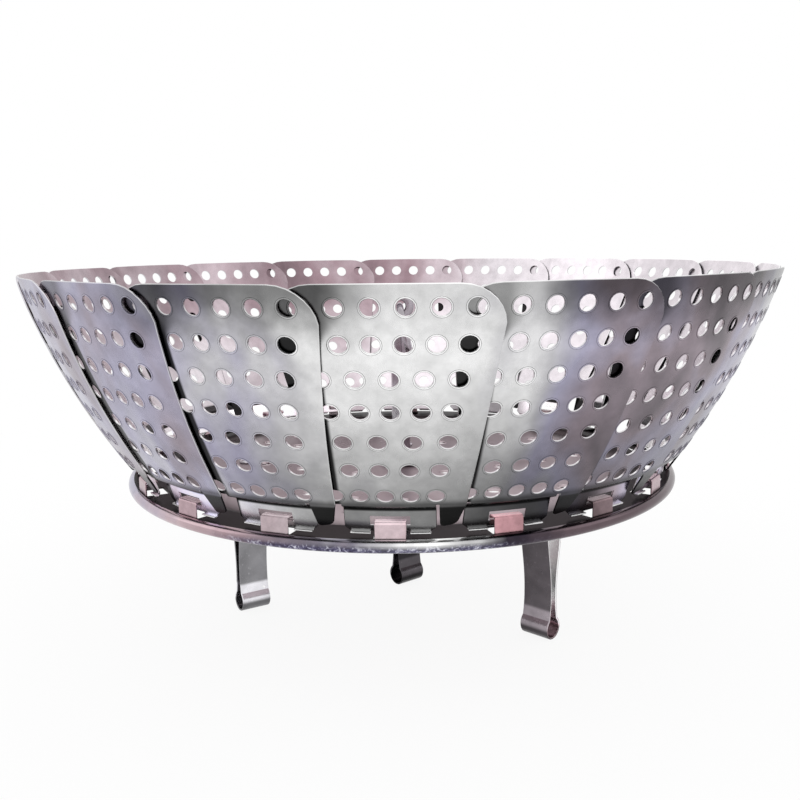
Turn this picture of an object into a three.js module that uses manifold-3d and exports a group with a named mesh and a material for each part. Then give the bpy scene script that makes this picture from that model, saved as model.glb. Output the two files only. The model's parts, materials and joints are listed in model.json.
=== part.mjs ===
// Folding steamer basket: a perforated base plate on three folding legs, eighteen hinged petals
// and a centre post with a lifting ring. Millimetres, +Z up, the front of the basket faces -Y.
// Azimuths are measured from the front towards +X, heights from the ground.
import * as THREE from 'three';
import { mergeVertices } from 'three/addons/utils/BufferGeometryUtils.js';
import Module from 'manifold-3d';

const wasm = await Module();
wasm.setup();

const deg = THREE.MathUtils.degToRad;

// Shared clearances
const CUT = 2; // how far a cutting shape runs past what it cuts
const SEAT_GAP = 0.2; // between a piece and the one that carries it
const RUN_GAP = 0.3; // between pieces that move past each other

// Base plate: a stamped sheet whose edge is rolled under into a bead
const PLATE_RADIUS = 87.5;
const PLATE_SHEET = 0.6;
const BEAD_DIAMETER = 3.4;
const BEAD_CURL = deg(290);
const BEAD_STEPS = 5;
const MARGIN_WIDTH = 13; // plate's edge to the top of the step
const WELL_STEP = 2.5;
const WELL_DEPTH = 1.5;
const STAND_HEIGHT = 49.5; // ground to the bottom of the bead
const PLATE_SEGMENTS = 36;

// Steam holes, in rings with more holes in each than in the one inside it
const HOLE_DIAMETER = 4;
const HOLE_SIDES = 4;
const FIRST_RING_RADIUS = 20;
const FIRST_RING_COUNT = 8;
const RING_SPACING = 13;
const RING_MORE = 6;
const HOLE_LIGAMENT = 1.5; // least metal left between a hole and a neighbour

// Petals: a foot held by its hook, a shoulder, and a blade that is steeper towards the rim and
// runs down past the foot's right side as an ear
const PETAL_COUNT = 18;
const FIRST_PETAL = deg(-2);
const PETAL_SHEET = 0.5;
const PETAL_ASKEW = deg(2); // turned on its foot, so its right edge lies outside the next petal
const HINGE_INSET = 4.1; // plate's edge to the hinges
const HINGE_LIFT = 2.3; // hinge above the plate
const FOOT_LEAN = deg(19);
const FOOT_BELOW = 1.3; // hinge to the bend into the flange
const FOOT_ABOVE = 6.1; // hinge to the bend into the shoulder
const FLANGE = 1.2;
const SHOULDER_REACH = 3.9;
const SHOULDER_RISE = 1.7;
const BLADE_LENGTH = 59;
const BLADE_LEAN_LOW = deg(33);
const BLADE_LEAN_HIGH = deg(17);
const FOOT_SEGMENTS = 54;
const RIM_LAP = 4.8; // past the middle between two petals
const SHOULDER_LAP = 2.9;
const LEFT_TUCK = 3.2; // the left side draws in behind the next ear
const LEFT_TUCK_HEIGHT = 7;
const EAR_LAP = 1.5;
const EAR_LIFT = 3; // ear tip above the plate
const CORNER_WIDTH = 10.5;
const CORNER_HEIGHT = 8.5;
const CORNER_STEPS = 3;
const RIM_ARCH = 0.8;
const RIM_DRIFT = 2; // the rim's middle lies to the right of the foot's
const FOOT_INSET = 3.4; // short of the middle between two petals
const FOOT_CHAMFER = 1.6;
const FOOT_LAP = 0.6; // of the foot's sheet up into the blade
const FOOT_SLIT = 0.8; // between the foot and the ear

// Steam holes of a petal, in rows that follow its rim. Each row's spread and middle are shares of
// the angle that a petal has to itself
const PETAL_HOLE_SIDES = 4;
const RIM_MARGIN = 5.2; // rim to the first row
const FOLD_MARGIN = 3.1; // last row to the fold above the foot
const ROW_COUNTS = [6, 6, 5, 5, 4, 4, 5];
const ROW_SPREAD_SHARES = [0.945, 0.9, 0.8, 0.75, 0.68, 0.625, 0.755];
const ROW_MIDDLE_SHARES = [0.035, 0.03, 0.035, 0.035, 0.06, 0.052, -0.025];
const SIDE_STEP = 13; // longest stretch of a blade's outline between two points
const SWAP_MARGIN = deg(0.1); // an edge between two triangles is swapped only past this

// Hooks: lanced from the plate, they rise outside the foot and bend in through its slot
const HOOK_WIDTH = 7.8;
const HOOK_SHEET = 0.5;
const HOOK_OUTSIDE = 1.5; // hinge to the inner face of the upright
const HOOK_OVER = 1.5; // hinge to the underside of the bend
const HOOK_INSIDE = 1.6; // hinge to the hook's end
const HOOK_LIP = 0.7;
const STRIP_HEIGHT = 1.7; // of the foot's bar, which the hook holds
const SLOT_WIDTH = 9.8;
const SLOT_TOP = 3.6; // hinge to the upper edge of the slot
const LANCE_LENGTH = 6.4;

// Legs: springy hairpins of strip, on a pin through both arms
const LEG_AZIMUTHS = [deg(-93), deg(62), deg(177)];
const LEG_RADII = [52, 49, 26];
const LEG_FACINGS = [deg(32), deg(-43), deg(40)]; // azimuth of the pin
const LEG_FOLD_SIDES = [1, -1, 1];
const LEG_SHEET = 0.6;
const LEG_WIDTH = 10;
const LEG_PIVOT_DROP = 6.8; // well's underside to the pin
const LEG_ARM_SPREAD = 4; // pin's middle to an arm
const LEG_ARM_TOP = 5.5;
const LEG_ARM_STRAIGHT = 4;
const LEG_WAIST = 1.4;
const LEG_WAIST_DROP = 29;
const LEG_BULB_RADIUS = 3.4;
const LEG_BULB_STEPS = 5; // down one side
const LEG_BULB_START = deg(45); // where an arm runs into the bulb
const ARM_STEPS = 3;

// Leg brackets, pins and rivets
const BRACKET_SHEET = 0.8;
const BRACKET_LENGTH = 11;
const BRACKET_DROP = 9.4;
const PIN_RADIUS = 1;
const PIN_HEAD_RADIUS = 1.8;
const PIN_HEAD = 0.8;
const RIVET_RADIUS = 1.4;
const RIVET_HEAD_RADIUS = 2.6;
const RIVET_HEAD = 0.9;
const SMALL_SIDES = 8;

// Centre post and its fixings
const POST_RADIUS = 3;
const POST_COLLAR_RADIUS = 7;
const POST_COLLAR = 1.2;
const POST_EYE_HEIGHT = 52; // well to the middle of the eye
const EYE_RADIUS = 4.6;
const EYE_BORE = 1.9;
const EYE_THICKNESS = 3.2;
const EYE_SIDES = 16;
const STUD_RADIUS = 2.4;
const WASHER_RADIUS = 7;
const WASHER_SHEET = 0.8;
const NUT_RADIUS = 5.2;
const NUT_HEIGHT = 3.2;
const NUT_SIDES = 6;
const STUD_END = 0.8;
const POST_SIDES = 16;

// Lifting ring
const RING_RADIUS = 11;
const RING_WIRE = 1.1;
const RING_WIRE_SIDES = 6;
const RING_STEPS = 24;

// Radii and widths that follow
const HINGE_RADIUS = PLATE_RADIUS - HINGE_INSET;
const WELL_RADIUS = PLATE_RADIUS - MARGIN_WIDTH - WELL_STEP;
const FOOT_HALF_WIDTH = halfPitch(HINGE_RADIUS) - FOOT_INSET;
const LAST_RING_RADIUS = WELL_RADIUS - HOLE_DIAMETER / 2 - HOLE_LIGAMENT;

// Heights that follow
const PLATE_TOP = STAND_HEIGHT + BEAD_DIAMETER;
const WELL_TOP = PLATE_TOP - WELL_DEPTH;
const WELL_UNDER = WELL_TOP - PLATE_SHEET;
const HINGE_HEIGHT = PLATE_TOP + HINGE_LIFT;
const LEG_PIVOT_HEIGHT = WELL_UNDER - LEG_PIVOT_DROP;

// Bores that follow
const PIN_BORE_RADIUS = PIN_RADIUS + RUN_GAP;
const RIVET_BORE_RADIUS = RIVET_RADIUS + RUN_GAP;
const STUD_BORE_RADIUS = STUD_RADIUS + RUN_GAP;

// Half of the width that each petal has to itself at a radius
function halfPitch(radius) {
  return radius * Math.tan(Math.PI / PETAL_COUNT);
}

// Solids: closed three.js geometries joined and cut
function toSolid(geometry) {
  const bare = geometry.clone();
  bare.deleteAttribute('normal');
  bare.deleteAttribute('uv');
  const merged = mergeVertices(bare);
  const mesh = new wasm.Mesh({
    numProp: 3,
    vertProperties: new Float32Array(merged.attributes.position.array),
    triVerts: new Uint32Array(merged.index.array),
  });
  return new wasm.Manifold(mesh);
}

function toGeometry(solid) {
  const mesh = solid.getMesh();
  const geometry = new THREE.BufferGeometry();
  geometry.setAttribute('position', new THREE.BufferAttribute(mesh.vertProperties, 3));
  geometry.setIndex(new THREE.BufferAttribute(mesh.triVerts, 1));
  geometry.computeVertexNormals();
  return geometry;
}

function joinAll(geometries) {
  let solid = toSolid(geometries[0]);
  for (const geometry of geometries.slice(1)) solid = solid.add(toSolid(geometry));
  return solid;
}

// A closed profile (x outwards, y up) turned round the Z axis
function turned(points, segments) {
  return new THREE.LatheGeometry([...points, points[0]], segments).rotateX(Math.PI / 2);
}

// A shape drawn as seen from the front (x right, y up), running back from y = front by depth
function frontPrism(shape, front, depth) {
  const settings = { depth, bevelEnabled: false, curveSegments: CORNER_STEPS };
  return new THREE.ExtrudeGeometry(shape, settings).rotateX(Math.PI / 2).translate(0, front + depth, 0);
}

// A shape drawn in the radial plane (x outwards, y up) at the front, with a width across
function radialPrism(shape, width) {
  const settings = { depth: width, bevelEnabled: false };
  const geometry = new THREE.ExtrudeGeometry(shape, settings).translate(0, 0, -width / 2);
  return geometry.rotateX(Math.PI / 2).rotateZ(-Math.PI / 2);
}

// Both sides of a line of points, half the sheet away on each side, as a closed outline
function thickened(line, sheet) {
  const side = (sign) => line.map((point, i) => {
    const before = line[Math.max(i - 1, 0)];
    const after = line[Math.min(i + 1, line.length - 1)];
    const into = i > 0 ? point.clone().sub(before).normalize() : after.clone().sub(point).normalize();
    const out = i < line.length - 1 ? after.clone().sub(point).normalize() : into;
    const along = into.clone().add(out).normalize();
    const reach = (sign * sheet) / 2 / along.dot(into);
    return new THREE.Vector2(point.x + along.y * reach, point.y - along.x * reach);
  });
  return [...side(1), ...side(-1).reverse()];
}

function shapeOf(points) {
  return new THREE.Shape(points.map(([x, y]) => new THREE.Vector2(x, y)));
}

// Materials: a satin stainless for the sheet, a brighter one for the fittings, a duller one for the legs
const satin = new THREE.MeshStandardMaterial({ color: 0xb4b0b3, roughness: 0.32, metalness: 1 });
const bright = new THREE.MeshStandardMaterial({ color: 0xc9c8cc, roughness: 0.18, metalness: 1 });
const dull = new THREE.MeshStandardMaterial({ color: 0x9b9a9d, roughness: 0.4, metalness: 1 });

function piece(name, geometry, material) {
  const mesh = new THREE.Mesh(geometry, material);
  mesh.name = name;
  return mesh;
}

// The blade's centre line at a distance from its lower end: radius, height and lean
function bladeAt(distance) {
  const turn = (BLADE_LEAN_HIGH - BLADE_LEAN_LOW) / BLADE_LENGTH;
  const lean = BLADE_LEAN_LOW + turn * distance;
  const footTop = new THREE.Vector2(
    HINGE_RADIUS + FOOT_ABOVE * Math.sin(FOOT_LEAN) + SHOULDER_REACH,
    HINGE_HEIGHT + FOOT_ABOVE * Math.cos(FOOT_LEAN) + SHOULDER_RISE,
  );
  return {
    radius: footTop.x + (Math.cos(BLADE_LEAN_LOW) - Math.cos(lean)) / turn,
    height: footTop.y + (Math.sin(lean) - Math.sin(BLADE_LEAN_LOW)) / turn,
    lean,
  };
}

// The wall at a height: the blade's centre line, and the ear, which runs straight on down from it
function wallAt(height) {
  const start = bladeAt(0);
  const rise = height - start.height;
  if (rise < 0) return { radius: start.radius + rise * Math.tan(BLADE_LEAN_LOW), lean: BLADE_LEAN_LOW };
  const turn = (BLADE_LEAN_HIGH - BLADE_LEAN_LOW) / BLADE_LENGTH;
  const lean = Math.asin(Math.sin(BLADE_LEAN_LOW) + rise * turn);
  return { radius: start.radius + (Math.cos(BLADE_LEAN_LOW) - Math.cos(lean)) / turn, lean };
}

// The centre line of the foot: flange, leaning face, shoulder, and a lap up into the blade
function footLine() {
  const sine = Math.sin(FOOT_LEAN);
  const cosine = Math.cos(FOOT_LEAN);
  const bottom = new THREE.Vector2(HINGE_RADIUS - FOOT_BELOW * sine, HINGE_HEIGHT - FOOT_BELOW * cosine);
  const top = new THREE.Vector2(HINGE_RADIUS + FOOT_ABOVE * sine, HINGE_HEIGHT + FOOT_ABOVE * cosine);
  const shoulder = bladeAt(0);
  const reach = shoulder.radius + FOOT_LAP * Math.tan(BLADE_LEAN_LOW);
  return [
    new THREE.Vector2(bottom.x + FLANGE, bottom.y),
    bottom,
    top,
    new THREE.Vector2(shoulder.radius, shoulder.height),
    new THREE.Vector2(reach, shoulder.height + FOOT_LAP),
  ];
}

// The blade's outline from the front: ear, sides, rounded corners and arched rim
function bladeOutline() {
  const rim = bladeAt(BLADE_LENGTH).height;
  const rimHalf = halfPitch(bladeAt(BLADE_LENGTH).radius) + RIM_LAP;
  const right = RIM_DRIFT + rimHalf;
  const left = RIM_DRIFT - rimHalf;
  const shoulder = bladeAt(0).height;
  const shoulderHalf = halfPitch(bladeAt(0).radius) + SHOULDER_LAP;
  const ear = PLATE_TOP + EAR_LIFT;
  const earHalf = halfPitch(HINGE_RADIUS) + EAR_LAP;
  const slit = FOOT_HALF_WIDTH + FOOT_SLIT;
  const outline = new THREE.Shape();
  outline.moveTo(LEFT_TUCK - shoulderHalf, shoulder);
  outline.lineTo(slit, shoulder);
  outline.lineTo(slit, ear);
  outline.lineTo(earHalf, ear + FOOT_SLIT);
  outline.lineTo(shoulderHalf, shoulder);
  outline.lineTo(right, rim - CORNER_HEIGHT);
  outline.quadraticCurveTo(right, rim, right - CORNER_WIDTH, rim);
  outline.quadraticCurveTo(RIM_DRIFT, rim + RIM_ARCH, left + CORNER_WIDTH, rim);
  outline.quadraticCurveTo(left, rim, left, rim - CORNER_HEIGHT);
  outline.lineTo(-shoulderHalf, shoulder + LEFT_TUCK_HEIGHT);
  return outline;
}

// The foot's outline from the front, with its lower corners cut off
function footOutline() {
  const end = HINGE_HEIGHT - FOOT_BELOW - PETAL_SHEET;
  const top = bladeAt(0).height + CUT;
  return shapeOf([
    [FOOT_CHAMFER - FOOT_HALF_WIDTH, end],
    [FOOT_HALF_WIDTH - FOOT_CHAMFER, end],
    [FOOT_HALF_WIDTH, end + FOOT_CHAMFER],
    [FOOT_HALF_WIDTH, top],
    [-FOOT_HALF_WIDTH, top],
    [-FOOT_HALF_WIDTH, end + FOOT_CHAMFER],
  ]);
}

// A box across the foot, between two distances from the hinge measured along the foot
function footBox(width, from, to) {
  const cosine = Math.cos(FOOT_LEAN);
  const middle = HINGE_HEIGHT + ((from + to) / 2) * cosine;
  return new THREE.BoxGeometry(width, 2 * FOOT_ABOVE, (to - from) * cosine).translate(0, -HINGE_RADIUS, middle);
}

// The foot: a sheet turned round the basket, cut to its outline and given its slot and notch
function buildFoot() {
  const ring = turned(thickened(footLine(), PETAL_SHEET), FOOT_SEGMENTS).rotateZ(Math.PI / FOOT_SEGMENTS);
  const front = toSolid(frontPrism(footOutline(), -2 * PLATE_RADIUS, 2 * PLATE_RADIUS));
  const slot = toSolid(footBox(SLOT_WIDTH, STRIP_HEIGHT / 2, SLOT_TOP));
  const notch = toSolid(footBox(SLOT_WIDTH, -FOOT_BELOW - CUT, -STRIP_HEIGHT / 2));
  return toSolid(ring).intersect(front).subtract(slot).subtract(notch);
}

// A closed line of points with more points on its long stretches
function divided(points) {
  return points.flatMap((point, i) => {
    const next = points[(i + 1) % points.length];
    const steps = Math.ceil(point.distanceTo(next) / SIDE_STEP);
    return Array.from({ length: steps }, (_, k) => point.clone().lerp(next, k / steps));
  });
}

// Prisms for a petal's steam holes as seen from the front: x across, y up, depth through the sheet
function petalHoles() {
  const pitch = (BLADE_LENGTH - RIM_MARGIN - FOLD_MARGIN) / (ROW_COUNTS.length - 1);
  const angle = (2 * Math.PI) / PETAL_COUNT;
  return ROW_COUNTS.flatMap((count, row) => {
    const { radius, height, lean } = bladeAt(BLADE_LENGTH - RIM_MARGIN - pitch * row);
    return Array.from({ length: count }, (_, i) => {
      const share = ROW_SPREAD_SHARES[row] * (i / (count - 1) - 1 / 2) + ROW_MIDDLE_SHARES[row];
      const x = radius * Math.sin(share * angle) + (radius - HINGE_RADIUS) * Math.tan(PETAL_ASKEW);
      const hole = new THREE.CylinderGeometry(HOLE_DIAMETER / 2, HOLE_DIAMETER / 2, CUT, PETAL_HOLE_SIDES);
      return hole.rotateX(Math.PI / 2).scale(1, Math.cos(lean), 1).translate(x, height, 0);
    });
  });
}

// Tells whether two level triangles, a b c and b a d, bend better when they meet along c d
function swapsWell(a, b, c, d) {
  const area = (p, q, r) => (q.x - p.x) * (r.y - p.y) - (q.y - p.y) * (r.x - p.x);
  const angle = (p) => a.clone().sub(p).angleTo(b.clone().sub(p));
  return area(c, d, a) * area(c, d, b) < 0 && angle(c) + angle(d) > Math.PI + SWAP_MARGIN;
}

// Swaps the long edges inside a flat pierced sheet for short ones, so that it bends evenly
function evenOut(geometry) {
  const places = geometry.attributes.position;
  const at = (i) => new THREE.Vector3().fromBufferAttribute(places, i);
  const corners = geometry.index.array;
  let swapped = true;
  while (swapped) {
    swapped = false;
    const sides = new Map();
    for (let i = 0; i < corners.length && !swapped; i += 1) {
      const first = i - (i % 3);
      const [a, b, c] = [0, 1, 2].map((k) => corners[first + ((i + k) % 3)]);
      const other = sides.get(`${b} ${a}`);
      sides.set(`${a} ${b}`, { first, c });
      const level = other && [b, c, other.c].every((k) => places.getZ(k) === places.getZ(a));
      if (level && swapsWell(at(a), at(b), at(c), at(other.c))) {
        corners.set([a, other.c, c], first);
        corners.set([b, c, other.c], other.first);
        swapped = true;
      }
    }
  }
}

// The blade: a flat sheet, cut and pierced as it is seen from the front, then bent to the wall
function buildBlade() {
  const outline = new THREE.Shape(divided(bladeOutline().getPoints(CORNER_STEPS).slice(0, -1)));
  const sheet = new THREE.ExtrudeGeometry(outline, { depth: PETAL_SHEET, bevelEnabled: false });
  const flat = toSolid(sheet.translate(0, 0, -PETAL_SHEET / 2)).subtract(joinAll(petalHoles()));
  const blade = toGeometry(flat);
  evenOut(blade);
  const places = blade.attributes.position;
  for (let i = 0; i < places.count; i += 1) {
    const { radius, lean } = wallAt(places.getY(i));
    const lift = places.getZ(i);
    const out = radius + lift * Math.cos(lean);
    const azimuth = Math.asin(places.getX(i) / out);
    places.setXYZ(i, out * Math.sin(azimuth), -out * Math.cos(azimuth), places.getY(i) - lift * Math.sin(lean));
  }
  return blade;
}

function buildPetal() {
  const petal = toSolid(buildBlade()).add(buildFoot());
  return toGeometry(petal).translate(0, HINGE_RADIUS, 0);
}

function petalAzimuth(index) {
  return FIRST_PETAL + (2 * Math.PI * index) / PETAL_COUNT;
}

// Each petal turns on its foot by a little, so that it can lie outside one neighbour
function placePetals(assembly) {
  const geometry = buildPetal();
  for (let i = 0; i < PETAL_COUNT; i += 1) {
    const place = new THREE.Group();
    place.rotation.z = petalAzimuth(i);
    const mesh = piece(`petal_${String(i + 1).padStart(2, '0')}`, geometry, satin);
    mesh.position.y = -HINGE_RADIUS;
    mesh.rotation.z = -PETAL_ASKEW;
    place.add(mesh);
    assembly.add(place);
  }
}

// The plate's section: well, step, flat margin and the bead rolled under
function plateSection() {
  const beadRadius = BEAD_DIAMETER / 2;
  const centre = new THREE.Vector2(PLATE_RADIUS - beadRadius, PLATE_TOP - beadRadius);
  const curl = (radius) => {
    const points = [];
    for (let i = 0; i <= BEAD_STEPS; i += 1) {
      const angle = Math.PI / 2 - (BEAD_CURL * i) / BEAD_STEPS;
      points.push(new THREE.Vector2(Math.cos(angle), Math.sin(angle)).multiplyScalar(radius).add(centre));
    }
    return points;
  };
  const marginStart = WELL_RADIUS + WELL_STEP;
  return [
    new THREE.Vector2(STUD_BORE_RADIUS, WELL_TOP),
    new THREE.Vector2(WELL_RADIUS, WELL_TOP),
    new THREE.Vector2(marginStart, PLATE_TOP),
    ...curl(beadRadius),
    ...curl(beadRadius - PLATE_SHEET).reverse(),
    new THREE.Vector2(marginStart, PLATE_TOP - PLATE_SHEET),
    new THREE.Vector2(WELL_RADIUS, WELL_UNDER),
    new THREE.Vector2(STUD_BORE_RADIUS, WELL_UNDER),
  ].reverse();
}

// A hook: upright outside the foot, bend over the bar and a short lip inside the slot
function hookAt(azimuth) {
  const inner = HINGE_RADIUS + HOOK_OUTSIDE;
  const outer = inner + HOOK_SHEET;
  const end = HINGE_RADIUS - HOOK_INSIDE;
  const under = HINGE_HEIGHT + HOOK_OVER;
  const top = under + HOOK_SHEET;
  const shape = shapeOf([
    [inner, PLATE_TOP - PLATE_SHEET / 2],
    [outer, PLATE_TOP - PLATE_SHEET / 2],
    [outer, top - HOOK_SHEET],
    [outer - HOOK_SHEET, top],
    [end, top],
    [end, under - HOOK_LIP],
    [end + HOOK_SHEET, under - HOOK_LIP],
    [end + HOOK_SHEET, under],
    [inner, under],
  ]);
  return radialPrism(shape, HOOK_WIDTH).rotateZ(azimuth);
}

// The window that a hook's tongue was cut from
function lanceAt(azimuth) {
  const outer = HINGE_RADIUS + HOOK_OUTSIDE;
  const box = new THREE.BoxGeometry(HOOK_WIDTH + 2 * RUN_GAP, LANCE_LENGTH, 2 * CUT);
  return box.translate(0, LANCE_LENGTH / 2 - outer, PLATE_TOP).rotateZ(azimuth);
}

function legPlace(index) {
  const azimuth = LEG_AZIMUTHS[index];
  const radius = LEG_RADII[index];
  return new THREE.Vector2(radius * Math.sin(azimuth), -radius * Math.cos(azimuth));
}

function uprightCylinder(radius, length, sides) {
  return new THREE.CylinderGeometry(radius, radius, length, sides).rotateX(Math.PI / 2);
}

// Rings of steam holes in the well, left out where a rivet or its head would cut into one
function plateHoles() {
  const cutters = [];
  const keepOff = RIVET_HEAD_RADIUS + HOLE_DIAMETER / 2 + HOLE_LIGAMENT;
  let count = FIRST_RING_COUNT;
  for (let radius = FIRST_RING_RADIUS; radius < LAST_RING_RADIUS; radius += RING_SPACING) {
    for (let i = 0; i < count; i += 1) {
      const azimuth = (2 * Math.PI * i) / count;
      const place = new THREE.Vector2(radius * Math.sin(azimuth), -radius * Math.cos(azimuth));
      const blocked = LEG_RADII.some((_, leg) => legPlace(leg).distanceTo(place) < keepOff);
      const cutter = uprightCylinder(HOLE_DIAMETER / 2, 2 * CUT, HOLE_SIDES);
      if (!blocked) cutters.push(cutter.translate(place.x, place.y, WELL_TOP));
    }
    count += RING_MORE;
  }
  return cutters;
}

function buildPlate() {
  const azimuths = Array.from({ length: PETAL_COUNT }, (_, i) => petalAzimuth(i));
  const rivetBores = LEG_RADII.map((_, leg) => {
    const bore = uprightCylinder(RIVET_BORE_RADIUS, 2 * CUT, SMALL_SIDES);
    return bore.translate(legPlace(leg).x, legPlace(leg).y, WELL_TOP);
  });
  const cutters = [...azimuths.map(lanceAt), ...plateHoles(), ...rivetBores];
  const sheet = toSolid(turned(plateSection(), PLATE_SEGMENTS)).subtract(joinAll(cutters));
  return toGeometry(sheet.add(joinAll(azimuths.map(hookAt))));
}

// A leg's centre line in its own frame (x across the hairpin, y up, pin at the origin). The
// bulb's steps leave a narrow flat to stand on
function legLine() {
  const step = (LEG_BULB_START + Math.PI / 2) / (LEG_BULB_STEPS - 1 / 2);
  const bulbDrop = LEG_PIVOT_HEIGHT - LEG_SHEET / 2 - LEG_BULB_RADIUS * Math.cos(step / 2);
  const half = [new THREE.Vector2(LEG_ARM_SPREAD, LEG_ARM_TOP)];
  half.push(new THREE.Vector2(LEG_ARM_SPREAD, -LEG_ARM_STRAIGHT));
  for (let i = 1; i <= ARM_STEPS; i += 1) {
    const share = i / ARM_STEPS;
    const ease = (1 - Math.cos(share * Math.PI)) / 2;
    half.push(new THREE.Vector2(
      THREE.MathUtils.lerp(LEG_ARM_SPREAD, LEG_WAIST, ease),
      -THREE.MathUtils.lerp(LEG_ARM_STRAIGHT, LEG_WAIST_DROP, share),
    ));
  }
  for (let i = 0; i < LEG_BULB_STEPS; i += 1) {
    const angle = LEG_BULB_START - step * i;
    half.push(new THREE.Vector2(LEG_BULB_RADIUS * Math.cos(angle), LEG_BULB_RADIUS * Math.sin(angle) - bulbDrop));
  }
  const mirrored = half.map((point) => new THREE.Vector2(-point.x, point.y)).reverse();
  return [...half, ...mirrored];
}

// A leg: the hairpin's outline given its width, with arm tops rounded on the side that folds up
function buildLeg(foldSide) {
  const strip = toSolid(radialPrism(new THREE.Shape(thickened(legLine(), LEG_SHEET)), LEG_WIDTH));
  const half = LEG_WIDTH / 2;
  const profile = new THREE.Shape();
  profile.moveTo(foldSide * half, -LEG_PIVOT_HEIGHT - CUT);
  profile.lineTo(foldSide * half, Math.sqrt(LEG_ARM_TOP ** 2 - half ** 2));
  for (let i = 1; i <= CORNER_STEPS; i += 1) {
    const start = Math.asin(half / LEG_ARM_TOP);
    const angle = start * (1 - i / CORNER_STEPS);
    profile.lineTo(foldSide * LEG_ARM_TOP * Math.sin(angle), LEG_ARM_TOP * Math.cos(angle));
  }
  profile.lineTo(-foldSide * half, LEG_ARM_TOP);
  profile.lineTo(-foldSide * half, -LEG_PIVOT_HEIGHT - CUT);
  const reach = LEG_ARM_SPREAD + CUT;
  const side = toSolid(frontPrism(profile, -reach, 2 * reach));
  const bore = new THREE.CylinderGeometry(PIN_BORE_RADIUS, PIN_BORE_RADIUS, 2 * reach, SMALL_SIDES);
  return toGeometry(strip.intersect(side).subtract(toSolid(bore)));
}

// A bracket: a channel riveted under the well, with an ear outside each arm of its leg
function buildBracket() {
  const inner = LEG_ARM_SPREAD + LEG_SHEET / 2 + RUN_GAP;
  const outer = inner + BRACKET_SHEET;
  const top = LEG_PIVOT_DROP - SEAT_GAP;
  const bottom = LEG_PIVOT_DROP - BRACKET_DROP;
  const channel = shapeOf([
    [-outer, bottom],
    [-inner, bottom],
    [-inner, top - BRACKET_SHEET],
    [inner, top - BRACKET_SHEET],
    [inner, bottom],
    [outer, bottom],
    [outer, top],
    [-outer, top],
  ]);
  const body = toSolid(radialPrism(channel, BRACKET_LENGTH));
  const pinBore = new THREE.CylinderGeometry(PIN_BORE_RADIUS, PIN_BORE_RADIUS, 2 * outer + CUT, SMALL_SIDES);
  const rivetBore = uprightCylinder(RIVET_BORE_RADIUS, CUT, SMALL_SIDES).translate(0, 0, top);
  return toGeometry(body.subtract(toSolid(pinBore)).subtract(toSolid(rivetBore)));
}

// A headed shank on the Z axis between two heights, with a head past each end
function headedShank(radius, headRadius, head, bottom, top) {
  return turned([
    new THREE.Vector2(0, bottom - head),
    new THREE.Vector2(headRadius, bottom - head),
    new THREE.Vector2(headRadius, bottom),
    new THREE.Vector2(radius, bottom),
    new THREE.Vector2(radius, top),
    new THREE.Vector2(headRadius, top),
    new THREE.Vector2(headRadius, top + head),
    new THREE.Vector2(0, top + head),
  ], SMALL_SIDES);
}

function buildPin() {
  const half = LEG_ARM_SPREAD + LEG_SHEET / 2 + RUN_GAP + BRACKET_SHEET + SEAT_GAP;
  return headedShank(PIN_RADIUS, PIN_HEAD_RADIUS, PIN_HEAD, -half, half).rotateX(Math.PI / 2);
}

function buildRivet() {
  const bottom = LEG_PIVOT_DROP - SEAT_GAP - BRACKET_SHEET - SEAT_GAP;
  const top = LEG_PIVOT_DROP + PLATE_SHEET + SEAT_GAP;
  return headedShank(RIVET_RADIUS, RIVET_HEAD_RADIUS, RIVET_HEAD, bottom, top);
}

function placeLegs(assembly) {
  const bracket = buildBracket();
  const pin = buildPin();
  const rivet = buildRivet();
  LEG_FOLD_SIDES.forEach((foldSide, leg) => {
    const place = new THREE.Group();
    place.position.set(legPlace(leg).x, legPlace(leg).y, LEG_PIVOT_HEIGHT);
    place.rotation.z = LEG_FACINGS[leg];
    place.add(piece(`leg_${leg + 1}`, buildLeg(foldSide), dull));
    place.add(piece(`leg_bracket_${leg + 1}`, bracket, satin));
    place.add(piece(`leg_pin_${leg + 1}`, pin, bright));
    place.add(piece(`bracket_rivet_${leg + 1}`, rivet, bright));
    assembly.add(place);
  });
}

// The post: threaded stud under the plate, collar on the well, shaft and a flat eye
function buildPost() {
  const studEnd = WELL_UNDER - 2 * SEAT_GAP - WASHER_SHEET - NUT_HEIGHT - STUD_END;
  const collar = WELL_TOP + SEAT_GAP;
  const eye = WELL_TOP + POST_EYE_HEIGHT;
  const shaft = turned([
    new THREE.Vector2(0, studEnd),
    new THREE.Vector2(STUD_RADIUS, studEnd),
    new THREE.Vector2(STUD_RADIUS, collar),
    new THREE.Vector2(POST_COLLAR_RADIUS, collar),
    new THREE.Vector2(POST_COLLAR_RADIUS, collar + POST_COLLAR),
    new THREE.Vector2(POST_RADIUS, collar + 2 * POST_COLLAR),
    new THREE.Vector2(POST_RADIUS, eye - EYE_RADIUS),
    new THREE.Vector2(0, eye - EYE_BORE - POST_COLLAR),
  ], POST_SIDES);
  const lug = new THREE.CylinderGeometry(EYE_RADIUS, EYE_RADIUS, EYE_THICKNESS, EYE_SIDES).translate(0, 0, eye);
  const bore = new THREE.CylinderGeometry(EYE_BORE, EYE_BORE, 2 * EYE_THICKNESS, EYE_SIDES).translate(0, 0, eye);
  return toGeometry(joinAll([shaft, lug]).subtract(toSolid(bore)));
}

function buildWasher() {
  const top = WELL_UNDER - SEAT_GAP;
  return turned([
    new THREE.Vector2(STUD_BORE_RADIUS, top - WASHER_SHEET),
    new THREE.Vector2(WASHER_RADIUS, top - WASHER_SHEET),
    new THREE.Vector2(WASHER_RADIUS, top),
    new THREE.Vector2(STUD_BORE_RADIUS, top),
  ], POST_SIDES);
}

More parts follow.
